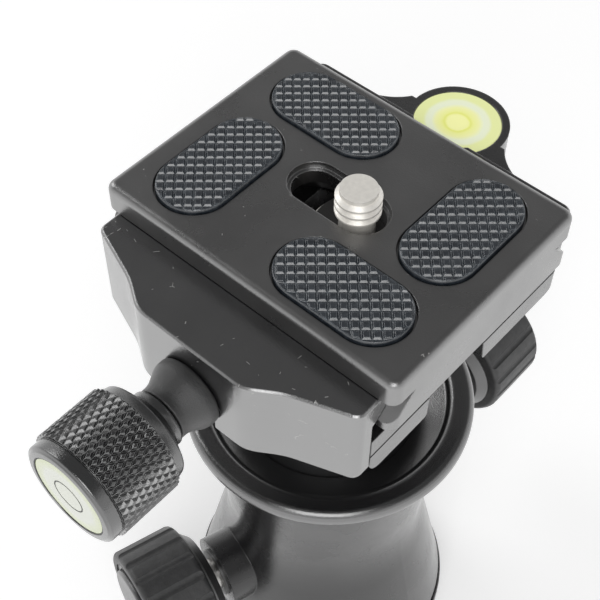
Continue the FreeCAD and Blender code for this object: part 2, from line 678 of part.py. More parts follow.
def make_camera_screw():
    head_top = PLATE_BOTTOM + POCKET_HEIGHT - SCREW_WASHER_THICKNESS - 2 * FLAT_GAP
    head_bottom = head_top - CAMERA_HEAD_HEIGHT
    top = PLATE_TOP + CAMERA_PROUD
    root = CAMERA_SCREW_R - CAMERA_THREAD_DEPTH
    corners = [(0, head_bottom, 0), (CAMERA_HEAD_R, head_bottom, 0.3), (CAMERA_HEAD_R, head_top, 0.3),
               (CAMERA_NECK_R, head_top, 0)]
    flank = (CAMERA_PITCH - CAMERA_CREST) / 2
    turns = int((top - CAMERA_LEAD - PLATE_TOP + flank) / CAMERA_PITCH)
    first = top - CAMERA_LEAD - turns * CAMERA_PITCH
    corners += [(CAMERA_NECK_R, first - flank, 0), (root, first, 0)]
    for index in range(turns):
        base = first + index * CAMERA_PITCH
        corners += [(CAMERA_SCREW_R, base + flank, 0), (CAMERA_SCREW_R, base + flank + CAMERA_CREST, 0),
                    (root, base + CAMERA_PITCH, 0)]
    corners += [(root, top, 0), (0, top, 0)]
    screw = turned(corners)
    coin = block(-CAMERA_HEAD_R - 1, CAMERA_HEAD_R + 1, -COIN_SLOT / 2, COIN_SLOT / 2,
                 head_bottom - 1, head_bottom + 1.2)
    screw = screw.cut(coin)
    screw.translate(FreeCAD.Vector(CAMERA_SCREW_X, 0, 0))
    return screw


def make_screw_washer():
    top = PLATE_BOTTOM + POCKET_HEIGHT - FLAT_GAP
    return tube(CAMERA_HEAD_R - 0.6, CAMERA_NECK_R + FIT, top - SCREW_WASHER_THICKNESS, top, CAMERA_SCREW_X)


# Clamp

def jaw_lip(side):
    """Outline of one jaw's working side: bed level, undercut, flank and tip."""
    drop = FLAT_GAP * math.sqrt(2)
    waist = PLATE_TOP - FLANGE_HEIGHT
    tip_y = DOVETAIL_IN + (waist - JAW_TOP) + drop
    foot_y = PLATE_WIDTH / 2 + 0.25
    foot_z = waist - (foot_y - drop - DOVETAIL_IN)
    return [(side * UNDERCUT_Y, BED, 0), (side * UNDERCUT_Y, foot_z - 0.4, 0), (side * foot_y, foot_z, 0),
            (side * (tip_y + 0.4), JAW_TOP - 0.4, 0), (side * (tip_y + 0.5), JAW_TOP, 0)]


def along_rail(corners, length):
    """Side outline of (Y, Z, rounding) corners drawn out along X."""
    face = Part.Face(rounded_wire(corners, upright=True))
    shape = face.extrude(FreeCAD.Vector(0, length, 0))
    shape.rotate(FreeCAD.Vector(0, 0, 0), Z_AXIS, 90)
    shape.translate(FreeCAD.Vector(length / 2, 0, 0))
    return shape


def make_clamp_base():
    front = -UNDERCUT_Y + JAW_GAP
    arch = LOBE_BOTTOM + ARCH_HEIGHT
    corners = [(front, BED, 0), (front, LOBE_BOTTOM, 2.4), (ARCH_FRONT, LOBE_BOTTOM, 0.6),
               (ARCH_FRONT, arch, 0.8), (ARCH_BACK, arch, 0.8), (ARCH_BACK + 0.6, LOBE_BOTTOM, 0.6),
               (CLAMP_BACK, LOBE_BOTTOM, 3.0), (CLAMP_BACK, JAW_TOP, 0)]
    body = along_rail(corners + list(reversed(jaw_lip(1))), CLAMP_LENGTH)
    plan = [(-CLAMP_HALF, front - 1, 0), (CLAMP_HALF, front - 1, 0), (CLAMP_HALF, CLAMP_BACK, 1.6),
            (-CLAMP_HALF, CLAMP_BACK, 1.6)]
    body = body.common(slab(plan, LOBE_BOTTOM - 1, JAW_TOP + 1))
    body = body.fuse([block(-STRIP_HALF_WIDTH, STRIP_HALF_WIDTH, front, UNDERCUT_Y, BED - 1, STRIP_TOP),
                      rod(HUB_R, HUB_BOTTOM, BED), make_ear()])
    body = body.removeSplitter()
    body = body.makeChamfer(JAW_EDGE, outer_top_edges(body))
    groove_z = LOBE_BOTTOM + GROOVE_HEIGHT
    cuts = [groove_ring(groove_z, front)]
    bolt_top = STRIP_TOP - CLAMP_BOLT_HEAD - 1.2
    cuts += [rod(CLAMP_BOLT_HEAD_R + SOFT_GAP, bolt_top, STRIP_TOP + 1),
             rod(CLAMP_BOLT_R + SOFT_GAP, HUB_BOTTOM - 1, STRIP_TOP),
             rod(EAR_VIAL_R, JAW_TOP - EAR_DROP - EAR_VIAL_DEPTH, JAW_TOP, 0, EAR_Y),
             lay(rod(CLAMP_SCREW_R + FIT, CLAMP_SCREW_TIP - 1.2, UNDERCUT_Y + 1), -90, KNOB_AXIS)]
    for x in (-PIN_X, PIN_X):
        cuts.append(lay(rod(PIN_R + FIT, UNDERCUT_Y + PIN_IN_JAW - PIN_LENGTH - JAW_GAP, UNDERCUT_Y + 1),
                        -90, pin_height(), x))
        cuts.append(lay(rod(SPRING_R + 2 * SPRING_WIRE_R + SOFT_GAP, UNDERCUT_Y - JAW_GAP - SPRING_LENGTH,
                            UNDERCUT_Y + 1), -90, pin_height(), x))
    return body.cut(cuts)


def outer_top_edges(body):
    """Top edges on the outside of the fixed jaw."""
    return [edge for edge in at_height(body, JAW_TOP) if edge.BoundBox.YMax > UNDERCUT_Y + 0.5]


def groove_ring(height, front):
    """Fine groove round the lobes of the clamp's underside."""
    outer = slab([(-CLAMP_HALF - 1, front - 1, 0), (CLAMP_HALF + 1, front - 1, 0),
                  (CLAMP_HALF + 1, CLAMP_BACK + 1, 0), (-CLAMP_HALF - 1, CLAMP_BACK + 1, 0)],
                 height - GROOVE_DEPTH / 2, height + GROOVE_DEPTH / 2)
    inner = slab([(-CLAMP_HALF + GROOVE_DEPTH, front - 2, 0), (CLAMP_HALF - GROOVE_DEPTH, front - 2, 0),
                  (CLAMP_HALF - GROOVE_DEPTH, CLAMP_BACK - GROOVE_DEPTH, 1.6),
                  (-CLAMP_HALF + GROOVE_DEPTH, CLAMP_BACK - GROOVE_DEPTH, 1.6)],
                 height - GROOVE_DEPTH, height + GROOVE_DEPTH)
    return outer.cut(inner)


def make_ear():
    """Rounded ear behind the fixed jaw, blended into it by two hollow fillets."""
    top = JAW_TOP - EAR_DROP
    span = math.sqrt((EAR_R + EAR_FILLET) ** 2 - (CLAMP_BACK + EAR_FILLET - EAR_Y) ** 2)
    ear = rod(EAR_R, top - EAR_HEIGHT, top, 0, EAR_Y)
    root = block(-span, span, UNDERCUT_Y + 1, EAR_Y, top - EAR_HEIGHT, top)
    scoops = [rod(EAR_FILLET, top - EAR_HEIGHT - 1, top + 1, side * span, CLAMP_BACK + EAR_FILLET)
              for side in (-1, 1)]
    return root.cut(scoops).fuse(ear).removeSplitter()


def make_clamp_bolt():
    bottom = STRIP_TOP - CLAMP_BOLT_HEAD - 1.2 + FIT
    bolt = turned([(0, bottom - CLAMP_BOLT_LENGTH, 0), (CLAMP_BOLT_R, bottom - CLAMP_BOLT_LENGTH, 0.5),
                   (CLAMP_BOLT_R, bottom, 0), (CLAMP_BOLT_HEAD_R, bottom, 0),
                   (CLAMP_BOLT_HEAD_R, bottom + CLAMP_BOLT_HEAD, 0.4), (0, bottom + CLAMP_BOLT_HEAD, 0)])
    corner = BOLT_HEX / math.sqrt(3)
    points = [(corner * math.cos(math.radians(60 * k)), corner * math.sin(math.radians(60 * k)), 0)
              for k in range(6)]
    return bolt.cut(slab(points, bottom + 1.2, bottom + CLAMP_BOLT_HEAD + 1))


def jaw_plan():
    """Plan of the moving jaw: straight back, S-curved wings and centre boss."""
    half = CLAMP_HALF
    return [(-half, -DOVETAIL_IN, 0), (-half, -JAW_WING_Y, 1.6), (-JAW_NECK_X, -JAW_NECK_Y, 14),
            (-JAW_BOSS_X, -JAW_BOSS_Y, 5), (JAW_BOSS_X, -JAW_BOSS_Y, 5), (JAW_NECK_X, -JAW_NECK_Y, 14),
            (half, -JAW_WING_Y, 1.6), (half, -DOVETAIL_IN, 0)]


def make_jaw():
    body = slab(jaw_plan(), JAW_BOTTOM, JAW_TOP)
    body = body.makeFillet(1.1, [edge for edge in at_height(body, JAW_BOTTOM)
                                 if edge.BoundBox.YMin < -UNDERCUT_Y])
    side = [(-JAW_BOSS_Y - 5, JAW_BOTTOM - 1, 0), (-UNDERCUT_Y, JAW_BOTTOM - 1, 0)]
    side += jaw_lip(-1)[1:]
    side.append((-JAW_BOSS_Y - 5, JAW_TOP, 0))
    body = body.common(along_rail(side, CLAMP_LENGTH + 2))
    body = body.makeChamfer(JAW_EDGE, [edge for edge in at_height(body, JAW_TOP)
                                       if edge.BoundBox.YMin < -UNDERCUT_Y - 1])
    slot_far = JAW_BOSS_Y + 1
    cuts = [lay(rod(U_SLOT_R, UNDERCUT_Y - 6, slot_far), -90, KNOB_AXIS),
            slab([(-U_SLOT_R, -slot_far, 0), (U_SLOT_R, -slot_far, 0), (U_SLOT_R, -UNDERCUT_Y + 6, 0),
                  (-U_SLOT_R, -UNDERCUT_Y + 6, 0)], JAW_BOTTOM - 1, KNOB_AXIS)]
    for x in (-PIN_X, PIN_X):
        cuts.append(lay(rod(PIN_R, UNDERCUT_Y - 1, UNDERCUT_Y + PIN_IN_JAW), -90, pin_height(), x))
    return body.cut(cuts)


def pin_height():
    return BED - PIN_DROP


def make_guide_pins():
    pins = []
    for x in (-PIN_X, PIN_X):
        pin = turned([(0, UNDERCUT_Y + PIN_IN_JAW - PIN_LENGTH, 0),
                      (PIN_R, UNDERCUT_Y + PIN_IN_JAW - PIN_LENGTH, 0.3),
                      (PIN_R, UNDERCUT_Y + PIN_IN_JAW, 0), (0, UNDERCUT_Y + PIN_IN_JAW, 0)])
        pins.append(lay(pin, -90, pin_height(), x))
    return Part.makeCompound(pins)


def make_jaw_springs():
    """Two coil springs round the guide pins, in pockets of the base."""
    travel = SPRING_LENGTH - 2 * SPRING_WIRE_R - 2 * FLAT_GAP
    path = Part.makeHelix(travel / SPRING_TURNS, travel, SPRING_R)
    wire = Part.makeCircle(SPRING_WIRE_R, FreeCAD.Vector(SPRING_R, 0, 0), FreeCAD.Vector(0, 1, 0))
    coil = Part.Wire(path.Edges).makePipeShell([Part.Wire([wire])], True, True)
    start = UNDERCUT_Y - JAW_GAP - SPRING_LENGTH + SPRING_WIRE_R + FLAT_GAP
    coil.translate(FreeCAD.Vector(0, 0, start))
    return Part.makeCompound([lay(coil, -90, pin_height(), x) for x in (-PIN_X, PIN_X)])


# Clamp knob

def make_clamp_collar():
    stop = COLLAR_START + COLLAR_LENGTH
    collar = turned([(CLAMP_SCREW_R + FIT, COLLAR_START, 0), (COLLAR_R, COLLAR_START, 0.4),
                     (COLLAR_R, COLLAR_START + 1.6, 2.5), (COLLAR_WAIST_R, stop - 1.4, 3.0),
                     (COLLAR_WAIST_R, stop, 0.2), (CLAMP_SCREW_R + FIT, stop, 0)])
    return lay(collar, -90, KNOB_AXIS)


def knob_stations():
    """Places along the knob's axis, from its neck to its face."""
    cone = KNOB_START + KNOB_NECK_LENGTH
    band = cone + KNOB_CONE
    knurl = band + KNOB_BACK_BAND
    front = knurl + KNOB_KNURL_LENGTH
    face = front + KNOB_FRONT_BAND
    return cone, band, knurl, front, face


def make_clamp_knob():
    cone, band, knurl, front, face = knob_stations()
    knob = turned([(0, KNOB_START, 0), (KNOB_NECK_R, KNOB_START, 0.6), (KNOB_NECK_R, cone, 0.5),
                   (KNOB_RIM_R, band, 0.5), (KNOB_BAND_R, knurl - 0.2, 0), (KNOB_R, knurl, 0),
                   (KNOB_R, front, 0), (KNOB_BAND_R, front + 0.2, 0), (KNOB_BAND_R, face - 0.6, 0.4),
                   (KNOB_RIM_R, face, 0.3), (0, face, 0)])
    knob = knob.cut([rod(CLAMP_SCREW_R, 0, knurl + 2),
                     rod(KNOB_VIAL_R, face - KNOB_VIAL_DEPTH - VIAL_INSET, face + 1)])
    return lay(knob, -90, KNOB_AXIS)


def make_clamp_screw():
    cone, band, knurl, front, face = knob_stations()
    screw = turned([(0, CLAMP_SCREW_TIP, 0), (CLAMP_SCREW_R, CLAMP_SCREW_TIP, 0.5),
                    (CLAMP_SCREW_R, knurl + 2, 0), (0, knurl + 2, 0)])
    return lay(screw, -90, KNOB_AXIS)


# Spirit levels

def make_level(radius, depth):
    """Cup, liquid, bubble and window of a bull's-eye level with its top face at height zero."""
    inner = radius - VIAL_WALL
    under = -VIAL_WINDOW
    floor = -depth + VIAL_WALL
    cup = tube(radius, inner, -depth, under).fuse(rod(inner, -depth, floor)).removeSplitter()
    window = turned([(0, under, 0), (radius, under, 0), (radius, 0, 0.3), (0, 0, 0)])
    bubble = turned([(0, under - BUBBLE_HEIGHT, 0), (BUBBLE_R, under - BUBBLE_HEIGHT, 0.4),
                     (BUBBLE_R, under, 0), (0, under, 0)])
    liquid = rod(inner, floor, under).cut(bubble)
    return [("cup", cup), ("liquid", liquid), ("bubble", bubble), ("window", window)]


def save_levels():
    for name, piece in make_level(EAR_VIAL_R, EAR_VIAL_DEPTH):
        piece.translate(FreeCAD.Vector(0, EAR_Y, JAW_TOP - EAR_DROP))
        save("ear_level_" + name, piece)
    face = knob_stations()[-1]
    for name, piece in make_level(KNOB_VIAL_R, KNOB_VIAL_DEPTH):
        piece.translate(FreeCAD.Vector(0, 0, face - VIAL_INSET))
        save("knob_level_" + name, lay(piece, -90, KNOB_AXIS))


def main():
    os.makedirs("parts", exist_ok=True)
    save("base_disc", make_base_disc())
    save("base_screws", make_base_screws())
    save("base_spindle", make_base_spindle())
    save("thread_insert", make_thread_insert())
    save("ring_nut", make_ring_nut())
    save("pan_washer", make_pan_washer())
    save("housing", make_housing())
    save("lip_ring", make_lip_ring())
    save("lip_grub_screws", make_lip_grub_screws())
    save("ball", make_ball())
    save("ball_cup", make_ball_cup())
    save("lock_piston", make_lock_piston())
    save("lock_plunger", make_lock_plunger())
    save("lock_screw", make_lock_screw())
    save("lock_bush", make_lock_bush())
    lock = make_knob(LOCK_KNOB_R, LOCK_KNOB_WALL, LOCK_KNOB_LENGTH, LOCK_KNOB_END, LOCK_KNOB_LOBES,
                     LOCK_SCREW_R - 2 * FIT, 90, LOCK_AXIS)
    pan = make_knob(PAN_KNOB_R, PAN_KNOB_WALL, PAN_KNOB_LENGTH, PAN_KNOB_END, PAN_KNOB_LOBES,
                    PAN_SCREW_R - 2 * FIT, PAN_AZIMUTH, PAN_AXIS)
    for index, part in enumerate(("core", "grip", "cap")):
        save("lock_knob_" + part, lock[index])
        save("pan_knob_" + part, pan[index])
    save("pan_shoe", make_pan_shoe())
    save("pan_screw", make_pan_screw())
    save("pan_bush", make_pan_bush())
    save("qr_plate", make_plate())
    for name, length, x, y, turn in pad_places():
        save(name, make_pad(length, x, y, turn))
    save("stop_screws", make_stop_screws())
    save("camera_screw", make_camera_screw())
    save("screw_washer", make_screw_washer())
    save("clamp_base", make_clamp_base())
    save("clamp_bolt", make_clamp_bolt())
    save("jaw", make_jaw())
    save("guide_pins", make_guide_pins())
    save("jaw_springs", make_jaw_springs())
    save("clamp_collar", make_clamp_collar())
    save("clamp_knob", make_clamp_knob())
    save("clamp_screw", make_clamp_screw())
    save_levels()


main()
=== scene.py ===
"""Looks of the tripod ball head: studded pads, knurled knob, spirit levels, scale and every finish."""

import logging
import math
from dataclasses import dataclass
from enum import Enum
from functools import cached_property
from itertools import product
from typing import Callable, NamedTuple, Sequence

import bmesh
import bpy
from bpy.types import Material, Node, Object, ShaderNodeTree
from mathutils import Matrix, Vector


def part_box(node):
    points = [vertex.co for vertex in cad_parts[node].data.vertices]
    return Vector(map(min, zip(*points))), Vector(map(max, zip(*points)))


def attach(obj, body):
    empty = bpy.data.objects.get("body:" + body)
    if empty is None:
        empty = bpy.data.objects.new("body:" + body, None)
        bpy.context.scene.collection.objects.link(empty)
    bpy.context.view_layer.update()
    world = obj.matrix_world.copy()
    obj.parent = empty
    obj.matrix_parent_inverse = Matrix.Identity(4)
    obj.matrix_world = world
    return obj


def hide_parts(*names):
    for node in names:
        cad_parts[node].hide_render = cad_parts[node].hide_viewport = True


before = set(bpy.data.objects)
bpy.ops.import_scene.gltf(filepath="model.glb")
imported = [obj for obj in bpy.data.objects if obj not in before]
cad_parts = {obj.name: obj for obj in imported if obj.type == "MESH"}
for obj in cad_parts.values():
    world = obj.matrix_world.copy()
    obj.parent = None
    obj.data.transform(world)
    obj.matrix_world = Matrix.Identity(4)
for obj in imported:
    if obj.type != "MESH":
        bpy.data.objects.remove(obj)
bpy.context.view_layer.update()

LOG = logging.getLogger("ball_head")
MM = 0.001
WELD_DISTANCE = 1e-7  # metres
AIM_HEIGHT = 0.09  # metres
SENSOR_WIDTH = 36.0  # millimetres
WHITE = (1.0, 1.0, 1.0)
DUST_COLOUR = (0.5, 0.5, 0.48)
RUBBER_DUST_COLOUR = (0.45, 0.45, 0.43)
Triple = tuple[float, float, float]
Colour = Triple
Pair = tuple[float, float]
Socket = bpy.types.NodeSocket
Geometry = bmesh.types.BMesh


class Axis(Enum):
    """Axes that turned pieces are built round."""

    UP = "up"
    CLAMP_KNOB = "clamp_knob"
    BALL_LOCK = "ball_lock"
    PAN_LOCK = "pan_lock"
    CAMERA_SCREW = "camera_screw"


def middle(node: str) -> Vector:
    """Give the centre of a node's box.

    Args:
        node: Name of the node in the frame.

    Returns:
        The centre, in metres.
    """
    low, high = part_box(node)
    return (low + high) / 2


PAN_LOCK_DIRECTION = (middle("pan_knob_core") - middle("pan_bush")).normalized()
AXES: dict[Axis, tuple[Vector, Vector]] = {
    Axis.UP: (Vector((0, 0, 0)), Vector((0, 0, 1))),
    Axis.CLAMP_KNOB: (Vector((0, 0, middle("clamp_knob").z)), Vector((0, -1, 0))),
    Axis.BALL_LOCK: (Vector((0, 0, middle("lock_screw").z)), Vector((0, 1, 0))),
    Axis.PAN_LOCK: (Vector((0, 0, middle("pan_screw").z)), PAN_LOCK_DIRECTION),
    Axis.CAMERA_SCREW: (middle("camera_screw"), Vector((0, 0, 1))),
}


def frame_of(axis: Axis) -> Matrix:
    """Give the placing that stands a +Z-built piece on an axis.

    Args:
        axis: The axis to stand it on.

    Returns:
        A matrix whose local Z runs along the axis.
    """
    origin, direction = AXES[axis]
    turn = Vector((0, 0, 1)).rotation_difference(direction).to_matrix().to_4x4()
    return Matrix.Translation(origin) @ turn


class Graph:
    """A shader node tree being wired."""

    def __init__(self, tree: bpy.types.NodeTree) -> None:
        """Start on an empty tree."""
        self.tree = tree
        tree.nodes.clear()

    def feed(self, socket: Socket, value: object) -> None:
        """Join a socket to another, or set its value.

        Args:
            socket: The input to fill.
            value: An output socket to link, or a plain value.
        """
        if isinstance(value, Socket):
            self.tree.links.new(value, socket)
        elif isinstance(value, tuple) and socket.type == "RGBA":
            socket.default_value = (*value[:3], 1.0)
        else:
            socket.default_value = value

    def fill(self, node: Node, inputs: dict) -> None:
        """Join or set several inputs of a node."""
        for key, value in inputs.items():
            self.feed(node.inputs[key], value)

    def node(self, kind: str, inputs: dict | None = None, **settings: object) -> Node:
        """Add a node.

        Args:
            kind: Blender's name of the node type, without its ShaderNode prefix.
            inputs: Values or sockets by input name or number.
            settings: Attributes to set on the node first.

        Returns:
            The new node.
        """
        made = self.tree.nodes.new("ShaderNode" + kind)
        for key, value in settings.items():
            setattr(made, key, value)
        self.fill(made, inputs or {})
        return made

    def group(self, tree: ShaderNodeTree, **values: object) -> dict[str, Socket]:
        """Place a shared group.

        Args:
            tree: The group.
            values: Values of its inputs.

        Returns:
            Its outputs by name.
        """
        node = self.node("Group", values, node_tree=tree)
        return {socket.name: socket for socket in node.outputs}

    def math(self, operation: str, first: object, second: object = 0.0, clamp: bool = False) -> Socket:
        """Add a Math node and give its result."""
        return self.node("Math", {0: first, 1: second}, operation=operation, use_clamp=clamp).outputs[0]

    def vector(self, operation: str, first: object, second: object = (0.0, 0.0, 0.0)) -> Node:
        """Add a Vector Math node."""
        return self.node("VectorMath", {0: first, 1: second}, operation=operation)

    def blend(self, share: object, first: object, second: object) -> Socket:
        """Mix two colours and give the result."""
        return self.node("Mix", {0: share, 6: first, 7: second}, data_type="RGBA").outputs[2]

    def span(self, value: object, low: float, high: float, to_low: float, to_high: float) -> Socket:
        """Map a range of values onto another, clamped."""
        inputs = {0: value, 1: low, 2: high, 3: to_low, 4: to_high}
        return self.node("MapRange", inputs, clamp=True).outputs[0]

    def times(self, first: object, second: object, clamp: bool = False) -> Socket:
        """Multiply two numbers and give the result."""
        return self.math("MULTIPLY", first, second, clamp)

    def noise(self, scale: object, detail: float = 2.0, roughness: float = 0.5) -> Node:
        """Add noise over the object, with its scale in cells to the millimetre."""
        inputs = {"Vector": self.place(), "Scale": scale, "Detail": detail, "Roughness": roughness}
        return self.node("TexNoise", inputs)

    def multiple(self, first: object, factor: object) -> Socket:
        """Scale a vector and give the result."""
        scale = self.vector("SCALE", first)
        self.feed(scale.inputs["Scale"], factor)
        return scale.outputs[0]

    def place(self) -> Socket:
        """Give the point on the object, in millimetres."""
        return self.multiple(self.node("TexCoord").outputs["Object"], 1 / MM)

    def surface(self, shader: Node, tint: Socket, rough: Socket, height: Socket, normal: Socket) -> None:
        """Join a colour, a roughness and a bumped normal to a Principled shader.

        Args:
            shader: The shader.
            tint: Its base colour.
            rough: Its roughness.
            height: Height of the relief, in millimetres.
            normal: The normal that the relief stands on.
        """
        bump = self.node("Bump", {"Strength": 1.0, "Distance": MM, "Height": height, "Normal": normal})
        self.fill(shader, {"Base Color": tint, "Roughness": rough, "Normal": bump.outputs[0]})


class Effects:
    """Shader node groups that several finishes share."""

    def __init__(self) -> None:
        """Build each group once."""
        self.edge = self.build("edge_wear", {"Radius": 0.0003, "Gain": 6.0}, self.edge_wear)
        self.grain = self.build("bead_grain", {"Size": 0.2, "Depth": 1.0}, self.bead_grain)
        self.specks = self.build("dust_specks", {"Spacing": 3.0, "Share": 0.3, "Radius": 0.08}, self.dust_specks)
        self.fibres = self.build("lint_fibres", {"Spacing": 5.0, "Share": 0.7}, self.lint_fibres)
        self.touch = self.build("handling", {"Size": 9.0}, self.handling)
        self.turning = self.build("turned_rings", {"Pitch": 0.2}, self.turned_rings, ("Centre", "Direction"))

    @staticmethod
    def build(name: str, numbers: dict[str, float], fill: Callable[[Graph, dict], dict],
              vectors: Sequence[str] = ()) -> ShaderNodeTree:
        """Make a node group with named inputs and outputs.

        Args:
            name: The group's name.
            numbers: Number inputs with their defaults.
            fill: Wires the group, and gives its outputs by name.
            vectors: Names of the vector inputs.

        Returns:
            The finished group.
        """
        tree = bpy.data.node_groups.new(name, "ShaderNodeTree")
        graph = Graph(tree)
        for key, value in numbers.items():
            tree.interface.new_socket(key, in_out="INPUT", socket_type="NodeSocketFloat").default_value = value
        for key in vectors:
            tree.interface.new_socket(key, in_out="INPUT", socket_type="NodeSocketVector")
        entry = tree.nodes.new("NodeGroupInput")
        results = fill(graph, {socket.name: socket for socket in entry.outputs if socket.name})
        leave = tree.nodes.new("NodeGroupOutput")
        for key, value in results.items():
            kind = "NodeSocketVector" if value.type == "VECTOR" else "NodeSocketFloat"
            tree.interface.new_socket(key, in_out="OUTPUT", socket_type=kind)
            tree.links.new(value, leave.inputs[key])
        return tree

    @staticmethod
    def edge_wear(graph: Graph, given: dict) -> dict:
        """Wire an edge mask, used for worn edges and for painted edge highlights, and a softened normal."""
        bevel = graph.node("Bevel", {"Radius": given["Radius"]}, samples=6)
        flat = graph.node("NewGeometry").outputs["Normal"]
        facing = graph.vector("DOT_PRODUCT", bevel.outputs[0], flat).outputs["Value"]
        turned = graph.times(graph.math("SUBTRACT", 1.0, facing), given["Gain"], clamp=True)
        rub = graph.noise(0.8, 4.0)
        worn = graph.times(turned, graph.span(rub.outputs[0], 0.35, 0.65, 0.25, 1.0))
        return {"Wear": worn, "Normal": bevel.outputs[0]}

    @staticmethod
    def bead_grain(graph: Graph, given: dict) -> dict:
        """Wire the fine even grain of a blasted or moulded surface."""
        scale = graph.math("DIVIDE", 1.0, given["Size"])
        fine = graph.noise(scale, 3.0, 0.6)
        coarse = graph.noise(graph.times(scale, 0.3))
        mixed = graph.math("ADD", fine.outputs[0], graph.times(coarse.outputs[0], 0.5))
        return {"Height": graph.times(mixed, given["Depth"]), "Mottle": coarse.outputs[0]}

    @staticmethod
    def dust_specks(graph: Graph, given: dict) -> dict:
        """Wire scattered specks of pale dust."""
        scale = graph.math("DIVIDE", 1.0, given["Spacing"])
        cells = graph.node("TexVoronoi", {"Vector": graph.place(), "Scale": scale})
        chance = graph.node("SeparateColor", {0: cells.outputs["Color"]})
        kept = graph.math("LESS_THAN", chance.outputs[0], given["Share"])
        size = graph.times(given["Radius"], graph.span(chance.outputs[1], 0.0, 1.0, 0.4, 1.5))
        reach = graph.times(cells.outputs["Distance"], given["Spacing"])
        spot = graph.math("SUBTRACT", 1.0, graph.math("DIVIDE", reach, size), clamp=True)
        return {"Specks": graph.times(graph.times(spot, 2.5, clamp=True), kept)}

    @staticmethod
    def lint_fibres(graph: Graph, given: dict) -> dict:
        """Wire a few short curved fibres of lint."""
        scale = graph.math("DIVIDE", 1.0, given["Spacing"])
        bend = graph.noise(0.35, 1.0)
        moved = graph.vector("ADD", graph.place(), bend.outputs["Color"]).outputs[0]
        web = graph.node("TexVoronoi", {"Vector": moved, "Scale": scale}, feature="DISTANCE_TO_EDGE")
        line = graph.math("LESS_THAN", graph.times(web.outputs[0], given["Spacing"]), 0.03)
        patch = graph.noise(0.9, 0.0)
        gate = graph.math("GREATER_THAN", patch.outputs[0], given["Share"])
        return {"Fibres": graph.times(line, gate)}

    @staticmethod
    def handling(graph: Graph, given: dict) -> dict:
        """Wire soft smudges that change the gloss."""
        scale = graph.math("DIVIDE", 1.0, given["Size"])
        cloud = graph.noise(scale, 5.0, 0.55)
        return {"Smudge": graph.span(cloud.outputs[0], 0.3, 0.7, 0.0, 1.0)}

    @staticmethod
    def turned_rings(graph: Graph, given: dict) -> dict:
        """Wire the fine rings that a lathe leaves round an axis."""
        centre = graph.multiple(given["Centre"], 1 / MM)
        offset = graph.vector("SUBTRACT", graph.place(), centre).outputs[0]
        along = graph.vector("DOT_PRODUCT", offset, given["Direction"]).outputs["Value"]
        spoke = graph.multiple(given["Direction"], along)
        outward = graph.vector("LENGTH", graph.vector("SUBTRACT", offset, spoke).outputs[0])
        walk = graph.math("ADD", outward.outputs["Value"], along)
        jitter = graph.node("TexNoise", {"W": graph.times(walk, 3.0), "Detail": 2.0}, noise_dimensions="1D")
        turns = graph.math("DIVIDE", graph.times(walk, math.tau), given["Pitch"])
        wave = graph.math("SINE", turns)
        return {"Height": graph.times(wave, jitter.outputs[0]), "Streak": jitter.outputs[0]}


@dataclass(frozen=True)
class Look:
    """What every finish has: a name, and a way to build its material."""

    name: str

    def make(self, effects: Effects) -> Material:
        """Build the finish.

        Args:
            effects: The shared node groups.

        Returns:
            The material.
        """
        material, graph, shader = new_material(self.name)
        self.wire(graph, shader, effects)
        return material

    def wire(self, graph: Graph, shader: Node, effects: Effects) -> None:
        """Wire the finish into its shader.

        Args:
            graph: The material's graph.
            shader: Its Principled shader.
            effects: The shared node groups.
        """
        raise NotImplementedError


@dataclass(frozen=True)
class Metal(Look):
    """A metal finish: anodised, turned, drawn or plated."""

    colour: Colour
    worn: Colour
    roughness: float
    metallic: float = 0.0
    index: float = 2.15
    grain: float = 0.2
    grain_bump: float = 0.02
    rings: Axis | None = None
    ring_bump: float = 0.0
    ring_pitch: float = 0.22
    wear: float = 0.4
    edge: float = 0.25
    dust: float = 0.25
    lint: float = 1.0

    def wire(self, graph: Graph, shader: Node, effects: Effects) -> None:
        """Wire the finish into its shader."""
        edge = graph.group(effects.edge, Radius=self.edge * MM)
        grain = graph.group(effects.grain, Size=self.grain)
        touch = graph.group(effects.touch)
        tint = graph.blend(graph.span(grain["Mottle"], 0.3, 0.7, 0.0, 0.35), self.colour, scaled(self.colour, 0.7))
        # Edges take the edge colour: wear, and on the knob a painted glint on the knurl tips.
        tint = graph.blend(graph.times(edge["Wear"], self.wear), tint, self.worn)
        height = graph.times(grain["Height"], self.grain_bump)
        if self.rings is not None:
            origin, direction = AXES[self.rings]
            turned = graph.group(effects.turning, Pitch=self.ring_pitch, Centre=origin, Direction=direction)
            height = graph.math("ADD", height, graph.times(turned["Height"], self.ring_bump))
            tint = graph.blend(graph.span(turned["Streak"], 0.3, 0.7, 0.0, 0.3), tint, scaled(self.colour, 1.3))
        rough = graph.math("ADD", graph.times(touch["Smudge"], 0.1), self.roughness - 0.05)
        if self.dust:
            specks = graph.group(effects.specks, Share=self.dust)
            fibres = graph.group(effects.fibres, Share=self.lint)
            litter = graph.math("MAXIMUM", specks["Specks"], fibres["Fibres"])
            tint = graph.blend(graph.times(litter, 0.55), tint, DUST_COLOUR)
            rough = graph.math("ADD", rough, graph.times(litter, 0.3), clamp=True)
        graph.surface(shader, tint, rough, height, edge["Normal"])
        graph.fill(shader, {"Metallic": self.metallic, "IOR": self.index})


